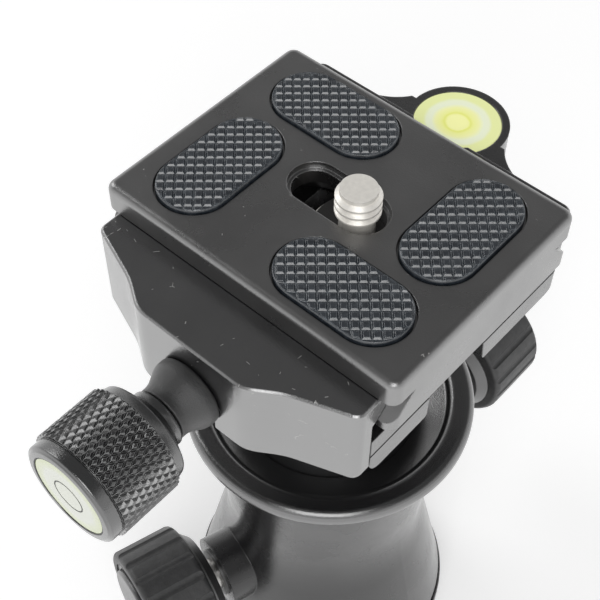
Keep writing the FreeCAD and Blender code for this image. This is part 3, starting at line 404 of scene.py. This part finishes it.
@dataclass(frozen=True)
class Rubber(Look):
    """Moulded rubber with a dusty bloom; on the pads the bloom colour also paints highlights along the stud edges."""

    colour: Colour
    bloom: Colour
    roughness: float
    grain: float = 0.3
    grain_bump: float = 0.05
    edge: float = 0.1
    rub: float = 0.5
    mottle: float = 0.45
    index: float = 1.6

    def wire(self, graph: Graph, shader: Node, effects: Effects) -> None:
        """Wire the finish into its shader."""
        edge = graph.group(effects.edge, Radius=self.edge * MM, Gain=3.0)
        grain = graph.group(effects.grain, Size=self.grain)
        touch = graph.group(effects.touch, Size=5.0)
        specks = graph.group(effects.specks, Spacing=2.5, Share=0.2, Radius=0.09)
        share = graph.times(graph.span(grain["Mottle"], 0.35, 0.7, 0.1, 0.9), self.mottle)
        tint = graph.blend(share, self.colour, self.bloom)
        # Edges take the bloom colour: rubbed bloom, and on the pads a painted highlight along the stud edges.
        tint = graph.blend(graph.times(edge["Wear"], self.rub), tint, self.bloom)
        tint = graph.blend(graph.times(specks["Specks"], 0.35), tint, RUBBER_DUST_COLOUR)
        rough = graph.math("ADD", graph.times(touch["Smudge"], 0.12), self.roughness - 0.06)
        height = graph.times(grain["Height"], self.grain_bump)
        graph.surface(shader, tint, rough, height, edge["Normal"])
        graph.fill(shader, {"IOR": self.index})


@dataclass(frozen=True)
class Plastic(Look):
    """Moulded or cast plastic, from opaque to clear."""

    colour: Colour
    shade: Colour
    roughness: float
    alpha: float = 1.0
    glow: float = 0.0

    def wire(self, graph: Graph, shader: Node, effects: Effects) -> None:
        """Wire the finish into its shader."""
        touch = graph.group(effects.touch, Size=3.0)
        tint = graph.blend(graph.times(touch["Smudge"], 0.5), self.colour, self.shade)
        rough = graph.math("ADD", graph.times(touch["Smudge"], 0.04), self.roughness)
        graph.fill(shader, {"Base Color": tint, "Roughness": rough, "Alpha": self.alpha})
        # The glow paints light into the vial parts, standing in for lamp light that the glass keeps out.
        if self.glow:
            graph.fill(shader, {"Emission Color": tint, "Emission Strength": self.glow})


@dataclass(frozen=True)
class Fluid(Look):
    """Level fluid, whose colour changes with the distance from the middle of the vial."""

    window: str
    bands: tuple[tuple[float, Colour], ...]
    reach: float = 8.0
    waviness: float = 0.5
    roughness: float = 0.15
    glow: float = 0.2
    coat: float = 0.6
    coat_roughness: float = 0.04

    def wire(self, graph: Graph, shader: Node, effects: Effects) -> None:
        """Wire the finish into its shader."""
        centre = tuple(middle(self.window) / MM)
        offset = graph.vector("SUBTRACT", graph.place(), centre).outputs[0]
        distance = graph.vector("LENGTH", offset).outputs["Value"]
        cloud = graph.noise(0.5, 2.0)
        sway = graph.times(graph.math("SUBTRACT", cloud.outputs[0], 0.5), self.waviness)
        wavy = graph.math("ADD", distance, sway)
        ramp = graph.node("ValToRGB", {0: graph.math("DIVIDE", wavy, self.reach)})
        stops = ramp.color_ramp.elements
        while len(stops) < len(self.bands):
            stops.new(0.5)
        for stop, (radius, colour) in zip(stops, self.bands):
            stop.position = radius / self.reach
            stop.color = (*colour, 1.0)
        tint = ramp.outputs[0]
        graph.fill(shader, {"Base Color": tint, "Roughness": self.roughness})
        # The glow paints light into the fluid, standing in for lamp light that the glass keeps out.
        graph.fill(shader, {"Emission Color": tint, "Emission Strength": self.glow})
        graph.fill(shader, {"Coat Weight": self.coat, "Coat Roughness": self.coat_roughness})


def scaled(colour: Colour, factor: float) -> Colour:
    """Lighten or darken a colour."""
    return tuple(min(channel * factor, 1.0) for channel in colour)


def new_material(name: str) -> tuple[Material, Graph, Node]:
    """Start a material.

    Args:
        name: The material's name.

    Returns:
        The material, its graph and its Principled shader.
    """
    material = bpy.data.materials.new(name)
    material.use_nodes = True
    graph = Graph(material.node_tree)
    shader = graph.node("BsdfPrincipled")
    output = graph.node("OutputMaterial")
    graph.feed(output.inputs["Surface"], shader.outputs[0])
    return material, graph, shader


BLACK: Colour = (0.013, 0.0127, 0.0133)
WORN: Colour = (0.09, 0.09, 0.092)


class Finish(Enum):
    """Every finish on the ball head."""

    PLATE = Metal("anodised_plate", (0.016, 0.0152, 0.0155), WORN, 0.3, index=3.0, dust=0.35, lint=0.79, wear=0.5)
    JAW = Metal("anodised_jaw", (0.012, 0.0118, 0.0125), WORN, 0.2, index=3.1, dust=0.5, lint=0.7, wear=0.5)
    BODY = Metal("anodised_body", BLACK, WORN, 0.26, index=1.6, rings=Axis.UP, ring_bump=0.0004, dust=0.12)
    CLAMP = Metal("anodised_clamp", BLACK, WORN, 0.24, dust=0.15)
    COLLAR = Metal("blasted_collar", (0.007, 0.007, 0.0075), (0.05, 0.05, 0.052), 0.42, index=1.75, grain=0.14,
                   grain_bump=0.07, dust=0.3)
    LIP = Metal("anodised_lip", (0.008, 0.008, 0.0085), WORN, 0.2, index=2.4, rings=Axis.UP, ring_bump=0.0003,
                dust=0.15)
    BALL = Metal("matt_ball", (0.01, 0.01, 0.0105), (0.05, 0.05, 0.05), 0.45, index=1.5, grain_bump=0.01, dust=0.08)
    # The knob's pale edge colour paints glints on the knurl tips, on top of their wear.
    KNOB = Metal("anodised_knob", (0.014, 0.0145, 0.015), (0.55, 0.55, 0.55), 0.2, index=2.15, rings=Axis.CLAMP_KNOB,
                 ring_bump=0.0006, edge=0.07, wear=0.9, dust=0.2)
    LOCK_CORE = Metal("anodised_lock_core", BLACK, WORN, 0.35, rings=Axis.BALL_LOCK, ring_bump=0.001, dust=0.1)
    PAN_CORE = Metal("anodised_pan_core", BLACK, WORN, 0.35, rings=Axis.PAN_LOCK, ring_bump=0.001, dust=0.1)
    SCREW = Metal("plated_screw", (0.97, 0.93, 0.85), (1.0, 0.98, 0.93), 0.34, metallic=0.25, rings=Axis.CAMERA_SCREW,
                  ring_bump=0.0006, edge=0.1, dust=0.1)
    DARK_STEEL = Metal("blackened_steel", (0.02, 0.019, 0.018), WORN, 0.4, index=1.6, dust=0.1)
    STEEL = Metal("turned_steel", (0.55, 0.54, 0.52), (0.7, 0.7, 0.7), 0.3, metallic=1.0, grain_bump=0.006, dust=0.0)
    SPRING = Metal("spring_wire", (0.45, 0.45, 0.45), (0.6, 0.6, 0.6), 0.35, metallic=1.0, dust=0.0)
    BRASS = Metal("turned_brass", (0.7, 0.5, 0.22), (0.85, 0.68, 0.35), 0.3, metallic=1.0, grain_bump=0.006, dust=0.0)
    INK = Metal("scale_paint", (0.62, 0.62, 0.6), (0.4, 0.4, 0.4), 0.55, index=1.45, dust=0.0, grain_bump=0.004)
    RING_INK = Metal("ring_print", (0.02, 0.022, 0.02), (0.04, 0.04, 0.04), 0.5, index=1.45, dust=0.0)
    # The pad's pale blue edge colour paints highlights along the stud edges.
    PAD = Rubber("pad_rubber", (0.011, 0.015, 0.021), (0.3, 0.345, 0.385), 0.24, index=1.9, grain_bump=0.02, rub=0.8,
                 edge=0.12, mottle=0.1)
    GRIP = Rubber("grip_rubber", (0.022, 0.022, 0.023), (0.06, 0.06, 0.06), 0.5, rub=0.3)
    POLYMER = Plastic("slide_polymer", (0.05, 0.05, 0.05), (0.08, 0.08, 0.08), 0.5)
    EAR_CUP = Plastic("ear_vial_body", (0.8, 0.86, 0.42), (0.72, 0.8, 0.34), 0.3, glow=0.3)
    EAR_FLUID = Fluid("ear_vial_liquid", "ear_level_window", ((0.0, (0.93, 0.94, 0.42)), (1.6, (0.93, 0.94, 0.42)),
                      (2.0, (0.8, 0.83, 0.22)), (2.35, (0.86, 0.88, 0.32)), (3.2, (0.88, 0.9, 0.44)),
                      (3.9, (0.82, 0.87, 0.66)), (4.6, (0.82, 0.87, 0.64)), (5.1, (0.8, 0.85, 0.4))), glow=0.22)
    KNOB_CUP = Plastic("knob_vial_body", (0.8, 0.83, 0.68), (0.74, 0.78, 0.6), 0.3, glow=0.3)
    KNOB_FLUID = Fluid("knob_vial_liquid", "knob_level_window", ((0.0, (0.52, 0.55, 0.42)), (2.4, (0.52, 0.55, 0.42)),
                       (4.2, (0.54, 0.57, 0.47)), (4.9, (0.5, 0.55, 0.3)), (5.6, (0.45, 0.52, 0.2))), glow=0.0)
    BUBBLE = Plastic("vial_bubble", (0.95, 0.97, 0.7), (0.9, 0.95, 0.6), 0.05, alpha=0.12)


class Wardrobe:
    """Makes each finish once and hands it out."""

    def __init__(self) -> None:
        """Start with no material made."""
        self.effects = Effects()
        self.made: dict[Finish, Material] = {}

    def get(self, finish: Finish) -> Material:
        """Give the material of a finish."""
        if finish not in self.made:
            self.made[finish] = finish.value.make(self.effects)
        return self.made[finish]

    def dress(self, thing: Object, finish: Finish) -> None:
        """Put a finish on every slot of an object."""
        thing.data.materials.clear()
        thing.data.materials.append(self.get(finish))


def link(name: str, data: bpy.types.ID) -> Object:
    """Make an object of some data and put it in the scene."""
    thing = bpy.data.objects.new(name, data)
    bpy.context.scene.collection.objects.link(thing)
    return thing


def piece_from(name: str, mesh: Geometry, body: str, smooth_angle: float = 35.0) -> Object:
    """Turn built geometry into a piece that rides on a body.

    Args:
        name: The piece's name.
        mesh: Its geometry, in metres; it is freed.
        body: The body that it moves with.
        smooth_angle: Edges turning less than this, in degrees, are shaded smooth.

    Returns:
        The new piece.
    """
    bmesh.ops.remove_doubles(mesh, verts=mesh.verts, dist=WELD_DISTANCE)
    bmesh.ops.recalc_face_normals(mesh, faces=mesh.faces)
    data = bpy.data.meshes.new(name)
    for face in mesh.faces:
        face.smooth = True
    for edge in mesh.edges:
        edge.smooth = len(edge.link_faces) == 2 and edge.calc_face_angle(0.0) < math.radians(smooth_angle)
    mesh.to_mesh(data)
    mesh.free()
    thing = link(name, data)
    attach(thing, body)
    LOG.info("piece %s on %s: %d faces", name, body, len(data.polygons))
    return thing


def bridge(mesh: Geometry, rings: Sequence[list[bmesh.types.BMVert]]) -> None:
    """Join closed rings of equal length with quads.

    Args:
        mesh: The geometry to add to.
        rings: Rings of vertices, in order.
    """
    for lower, upper in zip(rings, rings[1:]):
        for index in range(len(lower)):
            following = (index + 1) % len(lower)
            mesh.faces.new((lower[index], lower[following], upper[following], upper[index]))


def lathe(mesh: Geometry, profile: Sequence[Pair], count: int, place: Matrix) -> None:
    """Turn an open profile of (radius, along) points in millimetres about an axis.

    Args:
        mesh: The geometry to add to.
        profile: Points from one end to the other.
        count: Steps round.
        place: Where the axis stands.
    """
    turn = math.tau / count
    rings = []
    for radius, along in profile:
        rings.append([mesh.verts.new(place @ polar(radius, turn * k, along)) for k in range(count)])
    bridge(mesh, rings)


def polar(radius: float, angle: float, along: float) -> Vector:
    """Give a point, in metres, from millimetres and radians round the Z axis."""
    return Vector((radius * math.cos(angle), radius * math.sin(angle), along)) * MM


def arc(centre: Pair, radius: float, start: float, end: float, steps: int = 4) -> list[Pair]:
    """Give points along an arc, angles in degrees."""
    angles = [math.radians(start + (end - start) * k / steps) for k in range(steps + 1)]
    return [(centre[0] + radius * math.cos(a), centre[1] + radius * math.sin(a)) for a in angles]


class Obround(NamedTuple):
    """A pad's plan: a straight-sided oval, in millimetres."""

    centre: Vector
    half_wide: float
    straight: float
    lengthways: bool


@dataclass(frozen=True)
class StuddedPad:
    """A rubber pad: a thin rounded rim round a field of truncated four-sided studs."""

    node: str
    pitch: Pair = (1.3, 1.46)
    foot: float = 0.48
    tip: float = 0.3
    chamfer: float = 0.04
    depth: float = 0.28
    rim: float = 0.3
    rim_steps: int = 96
    turn: float = 42.0
    spread: float = 16.0
    sunk: float = 0.02
    shoulder: float = 0.08
    overhang: float = 0.35
    border_rim: float = 0.6
    border_drop: float = 0.2
    edge_section: tuple[Pair, ...] = ((0.0, 0.5), (0.05, 0.32), (0.14, 0.2), (0.24, 0.22))

    @cached_property
    def plan(self) -> Obround:
        """Read the pad's plan from its node."""
        low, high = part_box(self.node)
        size = (high - low) / MM
        half_wide = min(size.x, size.y) / 2
        straight = max(size.x, size.y) / 2 - half_wide
        return Obround((low + high) / 2 / MM, half_wide, straight, size.x > size.y)

    def outline(self, inset: float) -> Callable[[float], Vector]:
        """Give the pad's obround, drawn in by an inset, as a function of the way round."""
        centre, half_wide, straight, lengthways = self.plan
        radius = half_wide - inset
        total = 4 * straight + math.tau * radius

        def at(share: float) -> Vector:
            """Give the point at a share of the way round."""
            way = (share % 1.0) * total
            for side in (1, -1):
                if way <= 2 * straight:
                    point = Vector((side * (straight - way), side * radius))
                    break
                way -= 2 * straight
                if way <= math.pi * radius:
                    angle = side * math.pi / 2 + way / radius
                    point = Vector((-side * straight + radius * math.cos(angle), radius * math.sin(angle)))
                    break
                way -= math.pi * radius
            if not lengthways:
                point = Vector((-point.y, point.x))
            return Vector((centre.x + point.x, centre.y + point.y, 0.0))

        return at

    def held(self, point: Vector, inset: float) -> tuple[Vector, float]:
        """Bring a point in millimetres back inside the inset outline.

        Args:
            point: The point.
            inset: How far the outline is drawn in.

        Returns:
            The point, moved if it lay outside, and how far outside it lay.
        """
        centre, half_wide, straight, lengthways = self.plan
        spine = Vector((1, 0)) if lengthways else Vector((0, 1))
        offset = Vector((point.x - centre.x, point.y - centre.y))
        along = max(-straight, min(straight, offset.dot(spine)))
        away = offset - spine * along
        beyond = away.length - (half_wide - inset)
        if beyond <= 0:
            return point.copy(), beyond
        offset = spine * along + away.normalized() * (half_wide - inset)
        return Vector((centre.x + offset.x, centre.y + offset.y, point.z)), beyond

    def build(self, wardrobe: Wardrobe) -> None:
        """Build the pad and put it in the node's place."""
        bottom, top = (corner.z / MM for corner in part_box(self.node))
        floor = top - self.depth
        mesh = bmesh.new()
        levels = [(0.0, bottom)] + [(inset, top - drop) for inset, drop in self.edge_section] + [(self.rim, floor)]
        rings = []
        for inset, height in levels:
            at = self.outline(inset)
            points = [at(k / self.rim_steps) for k in range(self.rim_steps)]
            rings.append([mesh.verts.new(Vector((p.x, p.y, height)) * MM) for p in points])
        bridge(mesh, rings)
        mesh.faces.new(rings[0])
        mesh.faces.new(rings[-1])
        self.studs(mesh, floor, top)
        pad = piece_from("studded_" + self.node, mesh, "plate", 30.0)
        wardrobe.dress(pad, Finish.PAD)
        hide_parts(self.node)

    def studs(self, mesh: Geometry, floor: float, top: float) -> None:
        """Add the studs, those at the border cut off along the rim.

        Args:
            mesh: The geometry to add to.
            floor: Height of the groove bottoms, in millimetres.
            top: Height of the stud tops, in millimetres.
        """
        centre = self.plan.centre
        spin = Matrix.Rotation(math.radians(self.turn), 3, "Z")
        across, along = self.pitch
        reach = int(self.spread / across)
        corners = [(-across, -along), (across, -along), (across, along), (-across, along)]
        layers = ((self.foot, floor - self.sunk), (self.tip + self.chamfer, top - self.shoulder), (self.tip, top))
        for row, column in product(range(-reach, reach + 1), repeat=2):
            spot = spin @ Vector((column * across, row * along, 0)) + Vector((centre.x, centre.y, 0))
            if self.held(spot, self.rim)[1] > self.overhang:
                continue
            rings = []
            for share, height in layers:
                ring = []
                for x, y in corners:
                    corner = spot + spin @ Vector((x * share, y * share, 0))
                    point, beyond = self.held(corner, self.rim * self.border_rim)
                    point.z = height - max(0.0, min(beyond, self.border_drop)) * (height - floor)
                    ring.append(mesh.verts.new(point * MM))
                rings.append(ring)
            bridge(mesh, rings)
            mesh.faces.new(rings[-1])


class Stations(NamedTuple):
    """Where the knob's parts begin along its axis, in millimetres."""

    start: float
    neck: float
    cone: float
    back: float
    front: float
    face: float


@dataclass(frozen=True)
class KnurledKnob:
    """The clamp knob: a turned black knob with a diamond knurl and a recess for its level."""

    node: str = "clamp_knob"
    body: str = "clamp_knob"
    starts: int = 44
    rows: int = 9
    crest: float = 8.0
    root: float = 7.68
    band: float = 7.55
    rim: float = 7.15
    tip_share: float = 0.2
    hole: float = 2.45
    groove: float = 0.12
    recess_gap: float = 0.06
    recess_depth: float = 6.0
    neck_length: float = 1.5
    cone_from_face: float = 12.4
    knurl_from_face: Pair = (11.1, 2.1)

    def measure(self) -> Stations:
        """Read where the knob starts and ends from its node."""
        low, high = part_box(self.node)
        start, face = -high.y / MM, -low.y / MM
        back, front = (face - distance for distance in self.knurl_from_face)
        return Stations(start, start + self.neck_length, face - self.cone_from_face, back, front, face)

    def knurl(self, mesh: Geometry, place: Matrix, start: float, end: float) -> tuple[list, list]:
        """Add the diamonds between two rings of groove points.

        Args:
            mesh: The geometry to add to.
            place: Where the knob's axis stands.
            start: Where the first ring stands along it, in millimetres.
            end: Where the last ring stands.

        Returns:
            The first and last boundary, as lists of vertices round the knob.
        """
        step = (end - start) / self.rows
        pitch = math.tau / self.starts
        share = self.tip_share

        def vertex(angle: float, along: float, radius: float) -> bmesh.types.BMVert:
            """Add a point on the knob."""
            return mesh.verts.new(place @ polar(radius, angle, along))

        crossing = {}
        for row, index in product(range(self.rows + 1), range(self.starts)):
            crossing[row, index] = vertex((index + 0.5 * (row % 2)) * pitch, start + row * step, self.root)
        first, last = [], []
        for (row, index), left in crossing.items():
            shift = row % 2
            right = crossing[row, (index + 1) % self.starts]
            angle = (index + 0.5 * shift + 0.5) * pitch
            along = start + row * step
            above = crossing.get((row + 1, (index + shift) % self.starts))
            below = crossing.get((row - 1, (index + shift) % self.starts))
            west = vertex(angle - pitch * share, along, self.crest)
            east = vertex(angle + pitch * share, along, self.crest)
            north = vertex(angle, along + 2 * step * share, self.crest) if above else None
            south = vertex(angle, along - 2 * step * share, self.crest) if below else None
            tips = [tip for tip in (west, south, east, north) if tip]
            mesh.faces.new(tips)
            if above:
                mesh.faces.new((west, north, above, left))
                mesh.faces.new((north, east, right, above))
            if below:
                mesh.faces.new((south, west, left, below))
                mesh.faces.new((east, south, below, right))
            if row == 0:
                first += [left, west, east]
            if row == self.rows:
                last += [left, west, east]
        return first, last

    def build(self, wardrobe: Wardrobe) -> None:
        """Build the knob and put it in the node's place."""
        start, neck, cone, back, front, face = self.measure()
        place = frame_of(Axis.CLAMP_KNOB)
        mesh = bmesh.new()
        first, last = self.knurl(mesh, place, back, front)
        edge = self.band - self.groove
        inverse = place.inverted()
        for boundary, along in ((first, back), (last, front)):
            ring = []
            for vert in boundary:
                local = inverse @ vert.co
                local.z = along * MM
                local.xy = local.xy.normalized() * edge * MM
                ring.append(mesh.verts.new(place @ local))
            bridge(mesh, [boundary, ring])
        count = 3 * self.starts
        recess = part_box("knob_level_cup")[1].x / MM
        inner = [(self.hole, start), (3.7, start)] + arc((3.75, start + 0.55), 0.5, -80, 0)
        inner += [(4.25, neck - 0.3), (4.4, neck)]
        inner += arc((self.rim - 0.5, cone - 0.05), 0.55, -45, 0)
        inner += [(self.band - 0.03, back - 0.28), (self.band, back - 0.2), (edge, back)]
        lathe(mesh, inner, count, place)
        outer = [(edge, front), (self.band, front + 0.16), (self.band, front + 0.3)]
        outer += arc((self.band - 0.35, face - 0.6), 0.35, 0, 60)
        outer += arc((self.rim - 0.3, face - 0.35), 0.3, 30, 90)
        floor = face - self.recess_depth
        outer += [(recess + self.recess_gap, face), (recess, face - 0.08), (recess, floor), (self.hole, floor)]
        lathe(mesh, outer, count, place)
        knob = piece_from("knurled_clamp_knob", mesh, self.body, 40.0)
        wardrobe.dress(knob, Finish.KNOB)
        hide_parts(self.node)


@dataclass(frozen=True)
class LevelRings:
    """The fine circles printed on a level's window."""

    name: str
    node: str
    body: str
    axis: Axis
    radii: tuple[float, ...]
    width: float = 0.2
    proud: float = 0.015
    sunk: float = 0.02
    steps: int = 96

    def build(self, wardrobe: Wardrobe) -> None:
        """Lay each circle on the window's outer face."""
        low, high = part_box(self.node)
        if self.axis is Axis.UP:
            centre = (low + high) / 2
            place = Matrix.Translation(Vector((centre.x, centre.y, high.z)))
        else:
            place = Matrix.Translation(Vector((0, low.y, 0))) @ frame_of(self.axis)
        mesh = bmesh.new()
        for radius in self.radii:
            inner, outer = radius - self.width / 2, radius + self.width / 2
            section = [(inner, -self.sunk), (inner, self.proud), (outer, self.proud), (outer, -self.sunk)]
            lathe(mesh, [*section, section[0]], self.steps, place)
        rings = piece_from(self.name, mesh, self.body)
        wardrobe.dress(rings, Finish.RING_INK)


@dataclass(frozen=True)
class PanScale:
    """Painted degree ticks and numbers round the pan base, with an index line on the housing."""

    radius: float = 23.5
    tick: float = 5.0
    major: int = 3
    labelled: int = 6
    number_size: float = 2.1
    number_gap: float = 2.6
    number_extrude: float = 0.06
    number_sunk: float = 0.04
    tick_sunk: float = 0.05
    tick_width: float = 0.22
    tick_lengths: Pair = (2.2, 1.3)
    margin: float = 0.9
    proud: float = 0.03
    index_width: float = 0.4
    index_top: float = 3.3
    index_bearing: float = -32.0
    index_radius: float = 22.895
    index_lean: float = 0.2227

    def bar(self, mesh: Geometry, angle: float, span: Pair, width: float, radius: float, lean: float = 0.0) -> None:
        """Add one upright tick.

        Args:
            mesh: The geometry to add to.
            angle: Where it stands, in degrees.
            span: Heights of its foot and its top, in millimetres.
            width: Its width, in millimetres.
            radius: Radius at its foot of the surface that it is painted on, in millimetres.
            lean: How much that radius shrinks for each millimetre of height.
        """
        low, high = span
        half = math.degrees(width / 2 / radius)
        rings = []
        for reach in (radius - self.tick_sunk, radius + self.proud):
            ring = []
            for turn, height in ((-half, low), (half, low), (half, high), (-half, high)):
                out = reach - lean * (height - low)
                ring.append(mesh.verts.new(polar(out, math.radians(angle + turn), height)))
            rings.append(ring)
        bridge(mesh, rings)
        mesh.faces.new(rings[1])

    def build(self, wardrobe: Wardrobe) -> None:
        """Paint the ticks, the numbers and the index line."""
        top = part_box("base_disc")[1].z / MM - self.margin
        mesh = bmesh.new()
        for index in range(int(360 / self.tick)):
            length = self.tick_lengths[0 if index % self.major == 0 else 1]
            self.bar(mesh, index * self.tick, (top - length, top), self.tick_width, self.radius)
        ticks = piece_from("pan_scale_ticks", mesh, "base")
        numbers = self.numbers(top - self.number_gap)
        mesh = bmesh.new()
        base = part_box("housing")[0].z / MM
        span = (base + self.margin, base + self.index_top)
        self.bar(mesh, self.index_bearing, span, self.index_width, self.index_radius, self.index_lean)
        index_line = piece_from("pan_index_line", mesh, "housing")
        for painted in (ticks, numbers, index_line):
            wardrobe.dress(painted, Finish.INK)

    def numbers(self, top: float) -> Object:
        """Wrap the numbers round the disc.

        Args:
            top: Height of their tops, in millimetres.

        Returns:
            One piece with every number.
        """
        mesh = bmesh.new()
        step = int(self.tick * self.labelled)
        for degrees in range(0, 360, step):
            curve = bpy.data.curves.new("number", "FONT")
            curve.body = str(degrees)
            curve.size = self.number_size
            curve.align_x = "CENTER"
            curve.align_y = "TOP"
            curve.extrude = self.number_extrude
            text = bpy.data.objects.new("number", curve)
            flat = bpy.data.meshes.new_from_object(text)
            part = bmesh.new()
            part.from_mesh(flat)
            for vert in part.verts:
                bearing = math.radians(degrees) + vert.co.x / self.radius
                reach = self.radius - self.number_sunk + (vert.co.z > 0) * (self.number_sunk + self.proud)
                vert.co = polar(reach, bearing, top + vert.co.y)
            part.to_mesh(flat)
            part.free()
            mesh.from_mesh(flat)
            bpy.data.objects.remove(text)
            bpy.data.curves.remove(curve)
            bpy.data.meshes.remove(flat)
        return piece_from("pan_scale_numbers", mesh, "base")


class BallHead:
    """The whole ball head: frame nodes with their finishes, and the pieces built round them."""

    finishes: dict[Finish, tuple[str, ...]] = {
        Finish.PLATE: ("qr_plate",),
        Finish.JAW: ("jaw",),
        Finish.CLAMP: ("clamp_base",),
        Finish.COLLAR: ("clamp_collar",),
        Finish.BODY: ("housing", "base_disc", "base_spindle"),
        Finish.LIP: ("lip_ring",),
        Finish.BALL: ("ball",),
        Finish.LOCK_CORE: ("lock_knob_core", "lock_knob_cap", "lock_bush"),
        Finish.PAN_CORE: ("pan_knob_core", "pan_knob_cap", "pan_bush"),
        Finish.GRIP: ("lock_knob_grip", "pan_knob_grip"),
        Finish.SCREW: ("camera_screw",),
        Finish.DARK_STEEL: ("screw_washer",),
        Finish.STEEL: ("stop_screws", "clamp_bolt", "guide_pins", "clamp_screw", "lock_screw",
                       "pan_screw", "lock_piston", "lock_plunger", "lip_grub_screws", "thread_insert", "base_screws"),
        Finish.SPRING: ("jaw_springs",),
        Finish.BRASS: ("ring_nut",),
        Finish.POLYMER: ("ball_cup", "pan_shoe", "pan_washer"),
        Finish.EAR_CUP: ("ear_level_cup",),
        Finish.EAR_FLUID: ("ear_level_liquid", "ear_level_window"),
        Finish.KNOB_CUP: ("knob_level_cup",),
        Finish.KNOB_FLUID: ("knob_level_liquid", "knob_level_window"),
        Finish.BUBBLE: ("ear_level_bubble", "knob_level_bubble"),
    }

    def __init__(self) -> None:
        """Set out the pieces to build."""
        self.wardrobe = Wardrobe()
        self.pieces = [StuddedPad(node) for node in ("pad_front", "pad_back", "pad_left", "pad_right")]
        self.pieces += [
            KnurledKnob(),
            LevelRings("knob_level_circles", "knob_level_window", "clamp_knob", Axis.CLAMP_KNOB, (2.43, 6.03)),
            PanScale(),
        ]

    def dress_nodes(self) -> None:
        """Give every frame node its finish."""
        for finish, nodes in self.finishes.items():
            for node in nodes:
                self.wardrobe.dress(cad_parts[node], finish)
                LOG.info("node %s: %s", node, finish.value.name)

    def build(self) -> None:
        """Dress the frame and build each piece."""
        self.dress_nodes()
        for piece in self.pieces:
            piece.build(self.wardrobe)


@dataclass(frozen=True)
class Studio:
    """Floor, lights, world and camera."""

    camera_at: Triple = (69.44, -87.93, 231.77)
    camera_right: Triple = (0.7493097, 0.6621567, 0.0091312)
    camera_down: Triple = (0.5238839, -0.5842904, -0.6197987)
    camera_forward: Triple = (-0.4050687, 0.4692049, -0.7847077)
    focal: float = 74.33
    floor_half: float = 2.5
    paper: Colour = (0.86, 0.86, 0.86)
    floor_lift: float = 0.36
    floor_shine: float = 0.3
    world_fill: float = 0.45
    ceiling: float = 0.17
    ceiling_span: Pair = (0.3, 0.62)

    def build(self) -> None:
        """Set up the studio."""
        self.make_floor()
        self.make_world()
        self.make_lamps()
        self.make_camera()
        bpy.context.scene.view_settings.view_transform = "Standard"

    def make_floor(self) -> None:
        """Lay a plain white floor that keeps the shadow and reads as white to the eye."""
        mesh = bmesh.new()
        half = self.floor_half
        corners = [(-half, -half), (half, -half), (half, half), (-half, half)]
        mesh.faces.new([mesh.verts.new((x, y, 0.0)) for x, y in corners])
        data = bpy.data.meshes.new("floor")
        mesh.to_mesh(data)
        mesh.free()
        floor = link("floor", data)
        material, graph, shader = new_material("paper_floor")
        graph.fill(shader, {"Base Color": self.paper, "Roughness": 0.9, "Emission Color": WHITE})
        path = graph.node("LightPath")
        shine = graph.times(path.outputs["Is Glossy Ray"], self.floor_shine)
        lift = graph.times(self.seen(graph), self.floor_lift)
        graph.feed(shader.inputs["Emission Strength"], graph.math("ADD", lift, shine))
        data.materials.append(material)

    @staticmethod
    def seen(graph: Graph) -> Socket:
        """Give 1 for rays that see the background directly, in gloss or through glass."""
        path = graph.node("LightPath")
        either = graph.math("MAXIMUM", path.outputs["Is Camera Ray"], path.outputs["Is Glossy Ray"])
        return graph.math("MAXIMUM", either, path.outputs["Is Transmission Ray"])

    def make_world(self) -> None:
        """Surround the object with white, and light it evenly."""
        world = bpy.data.worlds.new("white_room")
        world.use_nodes = True
        graph = Graph(world.node_tree)
        path = graph.node("LightPath")
        height = graph.node("SeparateXYZ", {0: graph.node("TexCoord").outputs["Generated"]}).outputs["Z"]
        room = graph.span(height, *self.ceiling_span, 1.0, self.ceiling)
        plain = graph.math("MAXIMUM", path.outputs["Is Camera Ray"], path.outputs["Is Transmission Ray"])
        glossy = graph.times(path.outputs["Is Glossy Ray"], graph.math("SUBTRACT", 1.0, plain))
        other = graph.math("SUBTRACT", 1.0, graph.math("MAXIMUM", plain, glossy))
        strength = graph.math("ADD", plain, graph.times(glossy, room))
        strength = graph.math("ADD", strength, graph.times(other, self.world_fill))
        back = graph.node("Background", {"Color": WHITE, "Strength": strength})
        out = graph.node("OutputWorld")
        graph.feed(out.inputs["Surface"], back.outputs[0])
        bpy.context.scene.world = world

    @staticmethod
    def lamp(name: str, at: Pair, height: float, size: float, power: float) -> None:
        """Hang a square soft lamp that looks at the object.

        Args:
            name: The lamp's name.
            at: Its place over the floor, in metres.
            height: Its height, in metres.
            size: Its side, in metres.
            power: Its power, in watts.
        """
        data = bpy.data.lights.new(name, "AREA")
        data.size = size
        data.energy = power
        lamp = link(name, data)
        lamp.location = (*at, height)
        aim = Vector((0, 0, AIM_HEIGHT)) - lamp.location
        lamp.rotation_euler = aim.to_track_quat("-Z", "Y").to_euler()

    def make_lamps(self) -> None:
        """Hang the lamps."""
        self.lamp("window", (0.5, -0.62), 0.85, 0.7, 5.0)
        self.lamp("left", (-0.7, -0.1), 0.6, 0.4, 1.5)

    def make_camera(self) -> None:
        """Stand the camera where the photograph was taken from."""
        data = bpy.data.cameras.new("camera")
        data.lens = self.focal
        data.sensor_width = SENSOR_WIDTH
        data.clip_start = 0.01
        camera = link("camera", data)
        columns = (self.camera_right, [-v for v in self.camera_down], [-v for v in self.camera_forward])
        turn = Matrix(tuple(zip(*columns))).to_4x4()
        camera.matrix_world = Matrix.Translation(Vector(self.camera_at) * MM) @ turn
        bpy.context.scene.camera = camera


def main() -> None:
    """Build the studio and the ball head."""
    logging.basicConfig(level=logging.INFO, format="%(name)s: %(message)s")
    Studio().build()
    BallHead().build()


if __name__ == "__main__":
    main()
